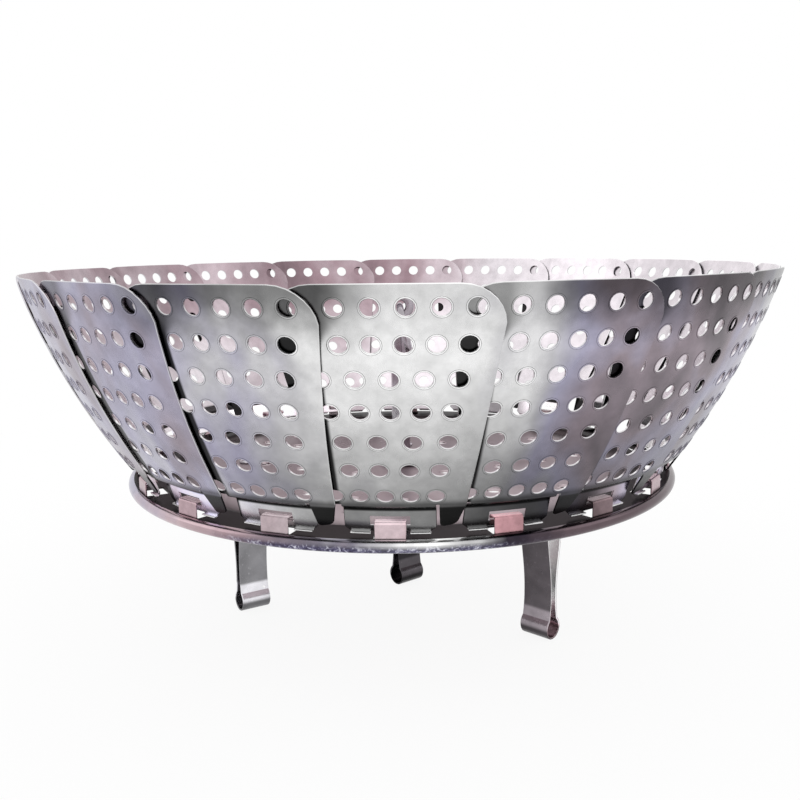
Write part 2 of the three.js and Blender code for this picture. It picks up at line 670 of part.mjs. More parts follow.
function buildNut() {
  const top = WELL_UNDER - 2 * SEAT_GAP - WASHER_SHEET;
  const body = toSolid(uprightCylinder(NUT_RADIUS, NUT_HEIGHT, NUT_SIDES));
  const bore = toSolid(uprightCylinder(STUD_BORE_RADIUS, NUT_HEIGHT + CUT, SMALL_SIDES));
  return toGeometry(body.subtract(bore)).translate(0, 0, top - NUT_HEIGHT / 2);
}

// The ring hangs in the eye and leans on the post's shaft
function placeRing(assembly) {
  const lean = Math.asin((POST_RADIUS + RING_WIRE + RUN_GAP) / (2 * RING_RADIUS));
  const torus = new THREE.TorusGeometry(RING_RADIUS, RING_WIRE, RING_WIRE_SIDES, RING_STEPS);
  const ring = piece('lifting_ring', torus.translate(RING_RADIUS, 0, 0), bright);
  ring.position.z = WELL_TOP + POST_EYE_HEIGHT;
  ring.rotation.y = Math.PI / 2 - lean;
  assembly.add(ring);
}

const steamerBasket = new THREE.Group();
steamerBasket.add(piece('base_plate', buildPlate(), bright));
placePetals(steamerBasket);
placeLegs(steamerBasket);
steamerBasket.add(piece('centre_post', buildPost(), bright));
steamerBasket.add(piece('post_washer', buildWasher(), bright));
steamerBasket.add(piece('post_nut', buildNut(), bright));
placeRing(steamerBasket);

export default steamerBasket;
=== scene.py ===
# %% [markdown]
# # A folding steamer basket
# Eighteen perforated petals of thin stainless sheet are hooked round a plate with a rolled
# edge, so that they can swing. The plate rests on three springy legs, and a post with a
# lifting ring stands in its middle.
#
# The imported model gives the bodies, the joints and a box for every part. All lengths are
# written in millimetres, and MM turns them into Blender's metres.

# %% The frame
import json
import math
import bmesh
import bpy
from mathutils import Matrix, Vector


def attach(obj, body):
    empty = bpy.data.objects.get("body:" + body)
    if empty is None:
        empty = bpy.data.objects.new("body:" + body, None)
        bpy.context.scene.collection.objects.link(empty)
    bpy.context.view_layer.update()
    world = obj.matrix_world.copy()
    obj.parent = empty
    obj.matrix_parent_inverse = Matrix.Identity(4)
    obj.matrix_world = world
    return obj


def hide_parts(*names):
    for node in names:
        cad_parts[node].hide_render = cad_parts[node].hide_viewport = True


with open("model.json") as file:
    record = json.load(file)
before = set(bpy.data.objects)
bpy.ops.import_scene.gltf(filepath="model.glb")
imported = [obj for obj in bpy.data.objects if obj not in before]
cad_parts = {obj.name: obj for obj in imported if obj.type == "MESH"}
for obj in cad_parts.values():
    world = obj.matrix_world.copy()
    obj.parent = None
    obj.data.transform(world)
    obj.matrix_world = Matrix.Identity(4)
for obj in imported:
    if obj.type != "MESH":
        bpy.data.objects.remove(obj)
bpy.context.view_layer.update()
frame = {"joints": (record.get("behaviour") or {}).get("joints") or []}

MM = 0.001
JOINTS = {joint["name"]: joint for joint in frame["joints"]}

# %% [markdown]
# ## Flat first, bent afterwards
# A maker of sheet goods cuts and pierces a flat blank, and bends it last. The same order suits
# bmesh: a face is drawn flat, its corners are rounded with the bevel operator, circles and
# slots are added, and triangle_fill closes the web between them. A bend is then only a new
# place for each vertex. The other way, cutting holes in a curved wall with booleans, is slow
# and leaves ragged shading.

# %% Outlines of a blank
EDGE_INSET = 0.14  # the soft rim that tumbling leaves on a cut edge
LONGEST_EDGE = 3.0
SAME_PLACE = 0.0005  # points nearer than this are one point


def box_corners(left, bottom, right, top):
    """The corners of a rectangle, anticlockwise."""
    return [(left, bottom), (right, bottom), (right, top), (left, top)]


def add_face(bm, corners):
    """A flat face from (x, y) corners."""
    return bm.faces.new([bm.verts.new((x, y, 0)) for x, y in corners])


def round_corner(bm, place, radius, steps):
    """Rounds the corner of the flat face that lies nearest to a place."""
    corner = min(bm.verts, key=lambda v: (v.co - Vector((*place, 0))).length)
    bmesh.ops.bevel(bm, geom=[corner], offset=radius, offset_type="OFFSET", segments=steps,
                    profile=0.5, affect="VERTICES", material=-1)


def divide_long_edges(bm, longest):
    """Adds points along long edges, so that they follow a bend."""
    for edge in list(bm.edges):
        cuts = int(edge.calc_length() / longest)
        if cuts:
            bmesh.ops.subdivide_edges(bm, edges=[edge], cuts=cuts)


def add_loop(bm, corners):
    """Adds a closed outline, with points along its long sides, and returns its edges."""
    outline = bmesh.new()
    add_face(outline, corners)
    divide_long_edges(outline, LONGEST_EDGE)
    verts = [bm.verts.new(vert.co) for vert in outline.faces[:][0].verts]
    outline.free()
    return [bm.edges.new(pair) for pair in zip(verts, verts[1:] + verts[:1])]


def soft_rim(bm):
    """Insets the flat face, lowers its outer edge a little and opens its middle."""
    face = bm.faces[:][0]
    bmesh.ops.inset_region(bm, faces=[face], thickness=EDGE_INSET, use_boundary=True,
                           use_even_offset=True)
    inner = max(bm.faces, key=lambda f: len(f.verts))
    edges = inner.edges[:]
    for vert in bm.verts:
        if vert.is_boundary:
            vert.co.z -= EDGE_INSET
    bmesh.ops.delete(bm, geom=[inner], context="FACES_ONLY")
    return edges


# %% Round holes
HOLE_RADIUS = 2.0
HOLE_STEPS = 16
COLLAR_WIDTH = 0.5  # a punched hole's edge is pushed up into a low collar, with a painted highlight in the petals' finish
COLLAR_SLOPE = 0.2
COLLAR_CREST = 0.18
COLLAR_HEIGHT = 0.12


def add_circle(bm, place, radius, steps):
    """A circle of edges round a place on the flat blank."""
    matrix = Matrix.Translation((*place, 0))
    made = bmesh.ops.create_circle(bm, cap_ends=False, segments=steps, radius=radius,
                                   matrix=matrix)
    return list(dict.fromkeys(edge for vert in made["verts"] for edge in vert.link_edges))


def scale_loop(bm, edges, place, share, lift):
    """Extrudes a loop of edges, scales it about a place and lifts it."""
    made = bmesh.ops.extrude_edge_only(bm, edges=edges)["geom"]
    verts = [g for g in made if isinstance(g, bmesh.types.BMVert)]
    centre = Matrix.Translation((-place[0], -place[1], 0))
    bmesh.ops.scale(bm, vec=(share, share, 1), space=centre, verts=verts)
    bmesh.ops.translate(bm, vec=(0, 0, lift), verts=verts)
    found = set(verts)
    return [g for g in made if isinstance(g, bmesh.types.BMEdge) and set(g.verts) <= found]


def add_collar(bm, edges, place, radius):
    """A low round collar inside a circle of edges, down to the hole's own radius."""
    outer = radius + COLLAR_WIDTH
    crest = outer - COLLAR_SLOPE
    inner = crest - COLLAR_CREST
    edges = scale_loop(bm, edges, place, crest / outer, COLLAR_HEIGHT)
    edges = scale_loop(bm, edges, place, inner / crest, 0)
    scale_loop(bm, edges, place, radius / inner, -COLLAR_HEIGHT)


def fill_web(bm, edges):
    """Closes the sheet between an outline and the loops inside it."""
    bmesh.ops.triangle_fill(bm, use_beauty=True, use_dissolve=False, edges=edges)


def fill_round_holes(bm, edges, places):
    """Closes the sheet between its loops and a number of holes, each with its collar."""
    radius = HOLE_RADIUS + COLLAR_WIDTH
    circles = [(place, add_circle(bm, place, radius, HOLE_STEPS)) for place in places]
    fill_web(bm, edges + [edge for _, circle in circles for edge in circle])
    for place, circle in circles:
        add_collar(bm, circle, place, HOLE_RADIUS)


# %% A blank with both faces
def close_blank(bm, sheet):
    """Adds the back face, which is flat, and the walls between the two."""
    half = sheet / 2
    bmesh.ops.translate(bm, vec=(0, 0, half), verts=bm.verts[:])
    rims = [edge for edge in bm.edges if edge.is_boundary]
    back = bmesh.ops.duplicate(bm, geom=bm.verts[:] + bm.edges[:] + bm.faces[:])["geom"]
    made = bmesh.ops.extrude_edge_only(bm, edges=rims)["geom"]
    for vert in {g for g in [*back, *made] if isinstance(g, bmesh.types.BMVert)}:
        vert.co.z = -min(vert.co.z, half)
    bmesh.ops.remove_doubles(bm, verts=bm.verts[:], dist=SAME_PLACE)


def cut_across(bm, places, direction):
    """Cuts the blank along parallel lines, so that it has points where it bends."""
    for place in places:
        geometry = bm.verts[:] + bm.edges[:] + bm.faces[:]
        bmesh.ops.bisect_plane(bm, geom=geometry, dist=0.001, plane_co=Vector(direction) * place,
                               plane_no=direction)


def remember_flat(bm):
    """Keeps each point's place on the flat blank as an attribute, for its finish."""
    layer = bm.verts.layers.float_vector.new("flat")
    for vert in bm.verts:
        vert[layer] = vert.co


def give_number(bm, name, number):
    """Writes one number on every point, for a finish that differs from copy to copy."""
    layer = bm.verts.layers.float.new(name)
    for vert in bm.verts:
        vert[layer] = number


def spaced(start, end, steps):
    """Places from start to end, both included."""
    return [start + (end - start) * i / steps for i in range(steps + 1)]


# %% [markdown]
# A bend is drawn as a line seen from the side. Each of its sharp corners becomes a short
# curve, and `trace` then tells the place and the outward direction at any distance along it.
# Walking along the line by its true length keeps the blank from stretching.

# %% Lines that a blank is bent to
def rounded(points, radius, steps=5):
    """A line with its inner corners replaced by short curves."""
    line = [points[0]]
    for before, corner, after in zip(points, points[1:], points[2:]):
        into = (before - corner).normalized() * min(radius, (before - corner).length / 2)
        out = (after - corner).normalized() * min(radius, (after - corner).length / 2)
        for share in spaced(0, 1, steps):
            line.append(corner + into * (1 - share) ** 2 + out * share ** 2)
    return [*line, points[-1]]


def trace(points):
    """Returns a function from a distance along a line to its place and its direction there."""
    starts = [0]
    for a, b in zip(points, points[1:]):
        starts.append(starts[-1] + (b - a).length)
    ahead = [(b - a).normalized() for a, b in zip(points, points[1:])]
    bends = [(a + b).normalized() for a, b in zip([ahead[0], *ahead], [*ahead, ahead[-1]])]

    def at(distance):
        i = max(k for k, start in enumerate(starts[:-1]) if start <= distance or k == 0)
        share = (distance - starts[i]) / (starts[i + 1] - starts[i])
        place = points[i] + (points[i + 1] - points[i]) * share
        return place, bends[i].lerp(bends[i + 1], min(max(share, 0), 1)).normalized()

    return at, starts[-1]


# %% From a bmesh to a piece
SHARP = math.radians(25)


def finish_piece(bm, name, body, slot, replaced, *materials):
    """Makes the piece: metres, outward faces, soft shading, a body to ride on and its finishes."""
    bmesh.ops.transform(bm, matrix=Matrix.Scale(MM, 4), verts=bm.verts[:])
    bmesh.ops.recalc_face_normals(bm, faces=bm.faces[:])
    mesh = bpy.data.meshes.new(name)
    bm.to_mesh(mesh)
    bm.free()
    mesh.shade_smooth()
    mesh.set_sharp_from_angle(angle=SHARP)
    for material in materials:
        mesh.materials.append(material)
    piece = bpy.data.objects.new(name, mesh)
    bpy.context.scene.collection.objects.link(piece)
    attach(piece, body)
    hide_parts(*replaced)
    return piece


# %% [markdown]
# ## Shader maths as Python
# A material's noise, ramps and mixes are nodes. A small class wraps a socket, so that sums are
# written as Python and each adds its Math node; one method makes every other kind of node.

# %% The socket class
class Socket:
    """A node's output in a material, with arithmetic."""

    def __init__(self, tree, output):
        self.tree = tree
        self.output = output

    def node(self, kind, settings=None, inputs=None, output=0):
        """Adds a node: its settings first, then the values or links of its sockets."""
        made = self.tree.nodes.new(kind)
        for key, value in (settings or {}).items():
            if key == "stops":
                set_stops(made.color_ramp, value)
            else:
                setattr(made, key, value)
        for key, value in (inputs or {}).items():
            plug(self.tree, made.inputs[key], value)
        return Socket(self.tree, made.outputs[output])

    def math(self, operation, a, b):
        """One Math node."""
        return self.node("ShaderNodeMath", {"operation": operation}, {0: a, 1: b})

    def __add__(self, other):
        return self.math("ADD", self, other)

    def __radd__(self, other):
        return self.math("ADD", other, self)

    def __sub__(self, other):
        return self.math("SUBTRACT", self, other)

    def __rsub__(self, other):
        return self.math("SUBTRACT", other, self)

    def __mul__(self, other):
        return self.math("MULTIPLY", self, other)

    def __rmul__(self, other):
        return self.math("MULTIPLY", other, self)


def plug(tree, socket, value):
    """Sets a socket to a value, or links it."""
    if isinstance(value, Socket):
        tree.links.new(value.output, socket)
    else:
        socket.default_value = value


def set_stops(bar, stops):
    """Gives a colour ramp its (position, colour) stops."""
    while len(bar.elements) > 1:
        bar.elements.remove(bar.elements[-1])
    bar.elements[0].position, bar.elements[0].color = stops[0]
    for position, colour in stops[1:]:
        bar.elements.new(position).color = colour


def from_screen(red, green, blue):
    """A colour as seen on a screen, 0 to 255, as the linear colour that a shader takes."""
    def linear(value):
        share = value / 255
        return share / 12.92 if share <= 0.04045 else ((share + 0.055) / 1.055) ** 2.4
    return (linear(red), linear(green), linear(blue), 1)


# %% [markdown]
# ## Stainless sheet
# Polished sheet takes its colour from what it mirrors. The real basket shows wide soft clouds
# of grey, mauve and lavender and a fine grain. The clouds could come from a picture of a room,
# but then they would slide when the basket turns. Instead, slow noise in the piece's own
# coordinates paints these reflections into the metal's colour, a second noise changes its
# roughness, and a bump adds the waves of a thin sheet and the grain.

# %% The parts of a metal finish
def new_finish(name, metallic=1.0):
    """A new material: returns it, its shader and a socket with the place in metres."""
    material = bpy.data.materials.new(name)
    material.use_nodes = True
    tree = material.node_tree
    shader = tree.nodes["Principled BSDF"]
    shader.inputs["Metallic"].default_value = metallic
    return material, shader, Socket(tree, tree.nodes.new("ShaderNodeTexCoord").outputs["Object"])


def noise(place, size, detail, distortion=0.0):
    """Noise from 0 to 1, whose soft spots are about size millimetres across."""
    inputs = {"Vector": place, "Scale": 1 / (size * MM), "Detail": detail,
              "Roughness": 0.55, "Distortion": distortion}
    return place.node("ShaderNodeTexNoise", inputs=inputs)


def ramp(value, tones, low, high):
    """A row of screen colours, spread evenly between two values."""
    step = (high - low) / (len(tones) - 1)
    stops = [(low + step * i, from_screen(*tone)) for i, tone in enumerate(tones)]
    return value.node("ShaderNodeValToRGB", {"stops": stops}, {"Fac": value})


def fade(value, start, end, first, last):
    """Goes smoothly from first to last while the value goes from start to end."""
    inputs = {"Value": value, "From Min": start, "From Max": end, "To Min": first, "To Max": last}
    return value.node("ShaderNodeMapRange", {"interpolation_type": "SMOOTHSTEP"}, inputs)


def darken(colour, level):
    """Multiplies a colour by a level, or by another colour."""
    inputs = {"Factor": 1.0, 6: colour, 7: level}
    return colour.node("ShaderNodeMix", {"data_type": "RGBA", "blend_type": "MULTIPLY"}, inputs, 2)


def between(share, first, second):
    """Mixes two colours by a share from 0 to 1."""
    inputs = {"Factor": share, 6: first, 7: second}
    return share.node("ShaderNodeMix", {"data_type": "RGBA"}, inputs, 2)


def coordinate(place, axis):
    """One coordinate of a place, 0 for X, 1 for Y and 2 for Z."""
    return place.node("ShaderNodeSeparateXYZ", inputs={"Vector": place}, output=axis)


# %% A finish for plain parts
def plug_finish(shader, place, colour, roughness, height):
    """Plugs in a colour, a roughness and a bump whose heights are in millimetres."""
    inputs = {"Height": height, "Distance": MM, "Strength": 1.0}
    bump = place.node("ShaderNodeBump", inputs=inputs)
    plug(shader.id_data, shader.inputs["Base Color"], colour)
    plug(shader.id_data, shader.inputs["Roughness"], roughness)
    plug(shader.id_data, shader.inputs["Normal"], bump)


def finish_metal(shader, place, colour, roughness, wave):
    """A colour with an uneven gloss, the sheet's waves and a fine grain."""
    gloss = noise(place, 15, 4) * 0.22 + (roughness - 0.11)
    height = noise(place, 14, 1.5) * wave + noise(place, 0.5, 2) * 0.006
    plug_finish(shader, place, colour, gloss, height)


def stainless(name, tones, roughness, cloud_size, wave, seed):
    """Stainless steel with clouds of painted reflection, each finish in another place of the
    noise.
    """
    material, shader, origin = new_finish(name)
    inputs = {"Vector": origin, "Location": (seed, seed / 3, -seed)}
    place = origin.node("ShaderNodeMapping", inputs=inputs)
    colour = ramp(noise(place, cloud_size, 3, 0.6), tones, 0.28, 0.72)
    patches = noise(place, cloud_size / 4, 4) * 0.6 + 0.68
    finish_metal(shader, place, darken(colour, patches), roughness, wave)
    return material


# %% The tones of the steel, as seen on a screen
SILVER = (198, 197, 201)
BRIGHT = (238, 238, 238)
ASH = (182, 181, 185)
LAVENDER = (172, 169, 190)
MAUVE = (150, 138, 146)
STEEL = (118, 114, 126)
SMOKE = (106, 100, 105)
STONE = (124, 117, 122)
DARK = (66, 63, 66)
PLUM = (52, 47, 56)
BROWN = (104, 90, 95)
UMBER = (88, 74, 76)
TAUPE = (140, 118, 125)
ROSE = (178, 154, 160)
HEATHER = (180, 166, 172)
CLAY = (186, 172, 176)
CORAL = (200, 152, 158)
SHELL = (206, 186, 191)
PINK = (216, 192, 197)
PEARL = (224, 217, 222)

bracket_steel = stainless("bracket_steel", [SMOKE, SILVER], 0.3, 18, 0.1, 9)
fastener_steel = stainless("fastener_steel", [SILVER, MAUVE], 0.2, 9, 0.04, 2)
post_steel = stainless("post_steel", [SILVER, MAUVE, SILVER], 0.18, 20, 0.05, 4)
wire_steel = stainless("wire_steel", [SILVER, MAUVE], 0.16, 14, 0.03, 6)
print("materials, with the frame's own", len(bpy.data.materials))

# %% [markdown]
# The rolled edge carries painted reflections from lavender through rose to a bright painted
# highlight in front and brown on its right, with painted shade on its underside and fine
# scratches along the front of its foot. The hooks carry pink painted reflections, brown on one
# on the right. The well is a pale rose, with painted shade on the margin beneath the petals.
# Painted light keeps the left leg bright and the others darker, with a painted highlight on each
# bulb and a pink painted reflection on the inner side of the right one.

# %% Finishes of the plate and its hooks
EDGE_TOP = 0.0529  # the bead's top, in metres like all the places that a finish uses
UNDER_PETAL_SHADE_START = 0.066
UNDER_PETAL_SHADE_END = 0.0775
SCRATCH_TONES = [(52, 48, 74), (92, 88, 122), (226, 226, 240)]
WELL_TONES = [(168, 150, 154), (206, 192, 196), (206, 192, 196), (168, 150, 154)]


def tones_across(place, wander, span, tones, low, high):
    """Tones from left to right over a span in metres, with wandering borders."""
    return ramp((coordinate(place, 0) + wander) * (1 / span) + 0.5, tones, low, high)


def bead_finish():
    """Painted reflections of lavender, rose, bright and brown, with painted shade on the underside
    and scratches along the front of the foot.
    """
    material, shader, place = new_finish("bead_steel")
    side, depth, height = [coordinate(place, axis) for axis in range(3)]
    tones = [LAVENDER, PINK, ROSE, STEEL, BRIGHT, PLUM, BROWN, BROWN, BROWN]
    # Painted reflections across the bead, with a bright painted highlight in front.
    colour = tones_across(place, (noise(place, 20, 3) - 0.5) * 0.05, 0.2, tones, 0.08, 0.92)
    scratches = ramp(noise(place, 1.2, 4, 1.0), SCRATCH_TONES, 0.4, 0.66)
    front = fade(depth, -0.082, -0.07, 0.9, 0.0) * fade(side, 0.018, 0.03, 1.0, 0.1)
    foot = fade(height, EDGE_TOP - 0.0024, EDGE_TOP - 0.001, 1.0, 0.0)
    # Painted shade on the underside of the bead.
    under = fade(height, EDGE_TOP - 0.0034, EDGE_TOP - 0.0029, 0.3, 0.92)
    patches = noise(place, 8, 4) * 0.6 + 0.66
    colour = darken(between(foot * front, colour, scratches), patches * under)
    finish_metal(shader, place, colour, 0.2, 0.06)
    return material


def hook_finish():
    """Pink painted reflections on the hooks, brown on one on the right."""
    material, shader, place = new_finish("hook_steel")
    wander = (noise(place, 8, 3, 0.6) - 0.5) * 0.012
    tones = [ROSE, CLAY, SHELL, CORAL, UMBER, ROSE]
    # Painted reflections that change round the basket.
    colour = tones_across(place, wander, 0.2, tones, 0.24, 0.86)
    finish_metal(shader, place, darken(colour, noise(place, 2, 4) * 0.6 + 0.72), 0.22, 0.1)
    return material


def well_finish():
    """Pale rose, darkened towards the edge by painted shade beneath the petals."""
    material, shader, place = new_finish("well_steel")
    inputs = {0: place, 1: (1, 1, 0)}
    flat = place.node("ShaderNodeVectorMath", {"operation": "MULTIPLY"}, inputs)
    radius = place.node("ShaderNodeVectorMath", {"operation": "LENGTH"}, {0: flat}, 1)
    # Painted shade on the margin beneath the petals.
    painted_shade = fade(radius + noise(place, 12, 3) * 0.006, UNDER_PETAL_SHADE_START, UNDER_PETAL_SHADE_END, 0.9, 0.07)
    colour = darken(ramp(noise(place, 30, 3), WELL_TONES, 0.25, 0.75), painted_shade)
    shader.inputs["Specular Tint"].default_value = (0.5, 0.5, 0.5, 1)
    finish_metal(shader, place, colour, 0.3, 0.07)
    return material


# %% The legs' finish
def leg_finish():
    """Painted light: bright on the left and dark on the right, with painted shade low on each bulb
    and a bright painted band above it.
    """
    material, shader, place = new_finish("leg_steel")
    side, height = coordinate(place, 0), coordinate(place, 2)
    wander = (noise(place, 16, 4) - 0.5) * 0.04
    # Painted light and reflection that change from leg to leg.
    colour = tones_across(place, wander, 0.1, [ASH, DARK, DARK, STONE], 0.15, 1.0)
    flat = place.node("ShaderNodeAttribute", {"attribute_name": "flat"}, output=1)
    # A pink painted reflection on the inner side of the legs on the right.
    inside = fade(coordinate(flat, 2), -0.05, 0.05, 1.0, 0.0) * fade(side, 0.0, 0.03, 0.0, 1.0)
    colour = between(inside, colour, from_screen(*PINK))
    # Painted shade low on each bulb, a painted highlight above it, and darker arms above that.
    bulb = fade(height, 0.003, 0.0045, 0.4, 2.2)
    band = fade(height, 0.009, 0.0102, 1.0, inside * 2.4 + 0.32)
    specks = fade(noise(place, 1.0, 3), 0.66, 0.72, 1.0, 1.7)
    level = (noise(place, 7, 4) * 0.7 + 0.45) * bulb * band * specks
    finish_metal(shader, place, darken(colour, level), 0.26, 0.1)
    return material


bead_steel = bead_finish()
hook_steel = hook_finish()
well_steel = well_finish()
leg_steel = leg_finish()
print("materials", len(bpy.data.materials))

# %% [markdown]
# The petals need more. Each one mirrors something else, so its painted reflections start at
# another place of the noise. These painted reflections make the basket lavender on the left,
# brightest in front, brown-grey on the right and rose inside. Painted shade darkens the strip
# that lies behind the next petal, the ears and the fold are painted black as shade, a painted
# highlight runs along every cut edge, and a hole's collar has a painted dark line round a
# painted highlight. These follow the sheet, so they are drawn on the flat blank's coordinates,
# in millimetres, which each vertex remembers. What changes round the basket uses the place in
# metres.

# %% Painted shade of a petal
COVERED_LEFT = -12.4  # outside, the strip from here to the left lies behind a neighbour
COVERED_RIGHT = 16.4  # inside, the strip from here to the right lies behind the other one
GAP_SHADE_DEPTH = 0.965  # how much of the light the painted shade takes away
# The painted shade below the fold, on the ears, the shoulder and the grooves.
PAINTED_GROOVE_SHADE = 0.03
PETAL_SHEET = 0.5
HALF_SHEET = PETAL_SHEET / 2

# Each of these starts with a level at the far left. Every (start, end, amount) after it is a
# smooth change on the way to the right. The levels are painted shade and light, and the tones
# are painted reflections, both changing round the basket.
RIM_SHADE_LEVELS = (0.95, (-0.075, -0.05, -0.68), (-0.016, 0.0, 0.58), (0.024, 0.036, -0.52))
LOW_SHADE_LEVELS = (0.95, (-0.06, -0.01, -0.59), (0.002, 0.018, -0.14), (0.03, 0.055, 0.24))
FOOT_LIGHT_LEVELS = (2.4, (-0.06, -0.01, -1.6), (0.01, 0.03, -0.4), (0.046, 0.06, 2.6))
OUTER_REFLECTION_TONES = (-0.11, (-0.06, -0.01, 0.56), (0.012, 0.055, -0.72), (0.07, 0.1, 0.28))
INNER_REFLECTION_TONES = (0.1, (-0.09, -0.04, -0.15), (-0.01, 0.07, 0.9))


def stepped(value, first, *changes):
    """Starts at first, and changes smoothly by the amount of each (start, end, amount)."""
    level = first
    for start, end, amount in changes:
        level = fade(value, start, end, 0.0, amount) + level
    return level


def painted_margin_shade(y, side, wander, below):
    """Painted shade under the rim and low on the blade, changing round the basket, and a painted
    shadow along the fold.
    """
    rim = fade(y + wander, 42, 58, 1.0, stepped(side, *RIM_SHADE_LEVELS))
    low = fade(y + wander, -6, 46, stepped(side, *LOW_SHADE_LEVELS), 1.0)
    fold = fade(y + wander * 0.1, -0.3, 2.4, 0.75, 0.0) * (1 - below)
    return rim * low * (1 - fold)


def painted_gap_shade(x, y, side, outside):
    """Painted shade on the strips that lie behind a neighbour, for the dark gap there, weaker near
    the rim.
    """
    start = COVERED_LEFT + fade(y, 0, 45, 1.0, 0.2) + fade(side, -0.09, -0.02, 4.0, 0.0)
    covered = fade(x - start, -0.5, fade(y, 44, 54, 0.4, 7.0), 1.0, 0.0) * outside
    behind = fade(x, COVERED_RIGHT - 0.6, COVERED_RIGHT + 0.6, 0.0, 1.0) * (1 - outside)
    painted_shade = covered * fade(y, 46, 55, GAP_SHADE_DEPTH, 0.6)
    return 1 - painted_shade - behind * fade(y, 46, 52, GAP_SHADE_DEPTH, 0.1)


def painted_foot_shade(x, y, side, below):
    """Painted shade: black ears and folds below the blade, and a foot between them with painted
    light and shade that change round the basket.
    """
    foot = below * fade(y, -5.5, -4.9, 1.0, 0.0) * fade(x, 11.5, 11.9, 1.0, 0.0)
    level = stepped(side, *FOOT_LIGHT_LEVELS) - PAINTED_GROOVE_SHADE
    return 1 - below * (1 - PAINTED_GROOVE_SHADE) + foot * level


# %% Painted shade and highlights at a petal's edges, and its painted reflections
def collar_shade_and_highlight(size):
    """A painted dark line round a painted highlight on the crest, by the distance from the middle
    of the sheet.
    """
    line = fade(size, HALF_SHEET + 0.005, HALF_SHEET + 0.03, 1.0, 0.3)
    return line * fade(size, HALF_SHEET + 0.06, HALF_SHEET + 0.1, 1.0, 4.0)


def painted_edge_highlight(y, size, place, below):
    """Painted highlights where a cut edge would catch the light: along the outline, the holes and
    the foot's flange.
    """
    cut = fade(size, HALF_SHEET - 0.06, HALF_SHEET - 0.01, 0.5, 0.0)
    cut = cut * (noise(place, 6, 2) + 0.5) * (1 - below)
    return cut.math("MAXIMUM", cut, fade(y, -11.9, -11.2, 0.9, 0.0))


def petal_reflection_clouds(flat):
    """Wide soft patches of painted reflection, drawn out up the blade and different on every
    petal.
    """
    number = flat.node("ShaderNodeAttribute", {"attribute_name": "petal_number"}, output=2)
    inputs = {"Vector": flat, "Scale": (MM, MM * 0.6, MM)}
    drawn = flat.node("ShaderNodeMapping", inputs=inputs)
    inputs = {0: number * 0.37, 1: number * 0.11, 2: 0.2}
    start = number.node("ShaderNodeCombineXYZ", inputs=inputs)
    own = flat.node("ShaderNodeVectorMath", {"operation": "ADD"}, {0: drawn, 1: start})
    return noise(own, 22, 2, 0.5)


# %% The petals' finish
def petal_colour(y, side, clouds, outside):
    """Painted reflections: lavender, bright and brown-grey on the outside; brown, rose and pearl
    inside.
    """
    tone = stepped(side, *OUTER_REFLECTION_TONES) + clouds * 1.1
    outer = ramp(tone, [SMOKE, MAUVE, LAVENDER, SILVER, BRIGHT], 0.05, 0.95)
    tone = stepped(side, *INNER_REFLECTION_TONES) + clouds * 0.8 + fade(y, 15, 48, 0.4, 0.0)
    inner = ramp(tone, [BROWN, TAUPE, HEATHER, PEARL], 0.05, 0.95)
    return between(outside, inner, outer)


def petal_finish():
    """All of the petal's painted shade and highlights over its painted reflections, with stains,
    waves and grain.
    """
    material, shader, place = new_finish("petal_steel")
    flat = place.node("ShaderNodeAttribute", {"attribute_name": "flat"}, output=1)
    x, y, lift = [coordinate(flat, axis) for axis in range(3)]
    side = coordinate(place, 0)
    size = lift.math("ABSOLUTE", lift, 0)
    outside = fade(lift, -0.05, 0.05, 0.0, 1.0)
    below = fade(y, -1.2, 0.3, 1.0, 0.0)
    # Painted shade under the rim, low on the blade, in the fold, on the covered strips, below the
    # fold and round the collars.
    margin = painted_margin_shade(y, side, (noise(place, 11, 3) - 0.5) * 14, below)
    level = (1 - outside * (1 - margin)) * painted_gap_shade(x, y, side, outside)
    level = level * painted_foot_shade(x, y, side, below) * collar_shade_and_highlight(size)
    stains = (noise(place, 12, 5) * 0.5 + 0.75) * (noise(place, 3.5, 5) * 0.5 + 0.75)
    colour = darken(petal_colour(y, side, petal_reflection_clouds(flat), outside), stains * level)
    # A painted highlight along the cut edges.
    colour = between(painted_edge_highlight(y, size, place, below), colour, from_screen(*BRIGHT))
    inputs = {"Vector": flat, "Scale": (MM, MM / 30, MM)}
    grain = noise(flat.node("ShaderNodeMapping", inputs=inputs), 0.35, 3)
    height = noise(place, 18, 1.5) * 0.3 + noise(place, 5, 2) * 0.03 + grain * 0.003
    gloss = noise(place, 22, 4) * 0.25 + grain * 0.04 + 0.12
    plug_finish(shader, place, colour, gloss, height)
    return material


petal_steel = petal_finish()
print("materials", len(bpy.data.materials))

# %% [markdown]
# ## The petals
# A petal is one blank: a wide perforated blade, a narrow foot that the hook holds, and an ear
# that runs down beside the foot. It is drawn at the size of the flat pattern a maker would
# cut, so that holes stay round and sheet stays as long as it is. Its coordinates are x, across
# the petal, and y, the distance up from the fold above the foot.

# %% The petal's sizes
PETAL_COUNT = 18
HINGE_INSET = 4.1
hinge = JOINTS["petal_01_hinge"]["pos_m"]
HINGE_RADIUS = math.hypot(hinge[0], hinge[1]) / MM
HINGE_HEIGHT = hinge[2] / MM
PETAL_ASKEW = math.radians(2)
FIRST_PETAL = math.radians(-2)
AZIMUTHS = [FIRST_PETAL + math.tau * i / PETAL_COUNT for i in range(PETAL_COUNT)]

FOOT_LEAN = math.radians(19)
FOOT_ABOVE = 6.1
FOOT_BELOW = 1.3
FLANGE = 1.2
SHOULDER_REACH = 3.9
SHOULDER_RISE = 1.7
BLADE_LENGTH = 59
LEAN_LOW = math.radians(33)
LEAN_HIGH = math.radians(17)
TURN = (LEAN_HIGH - LEAN_LOW) / BLADE_LENGTH  # the blade's curve, in radians for each mm
print("hinges at", round(HINGE_RADIUS, 2), round(HINGE_HEIGHT, 2), "mm")

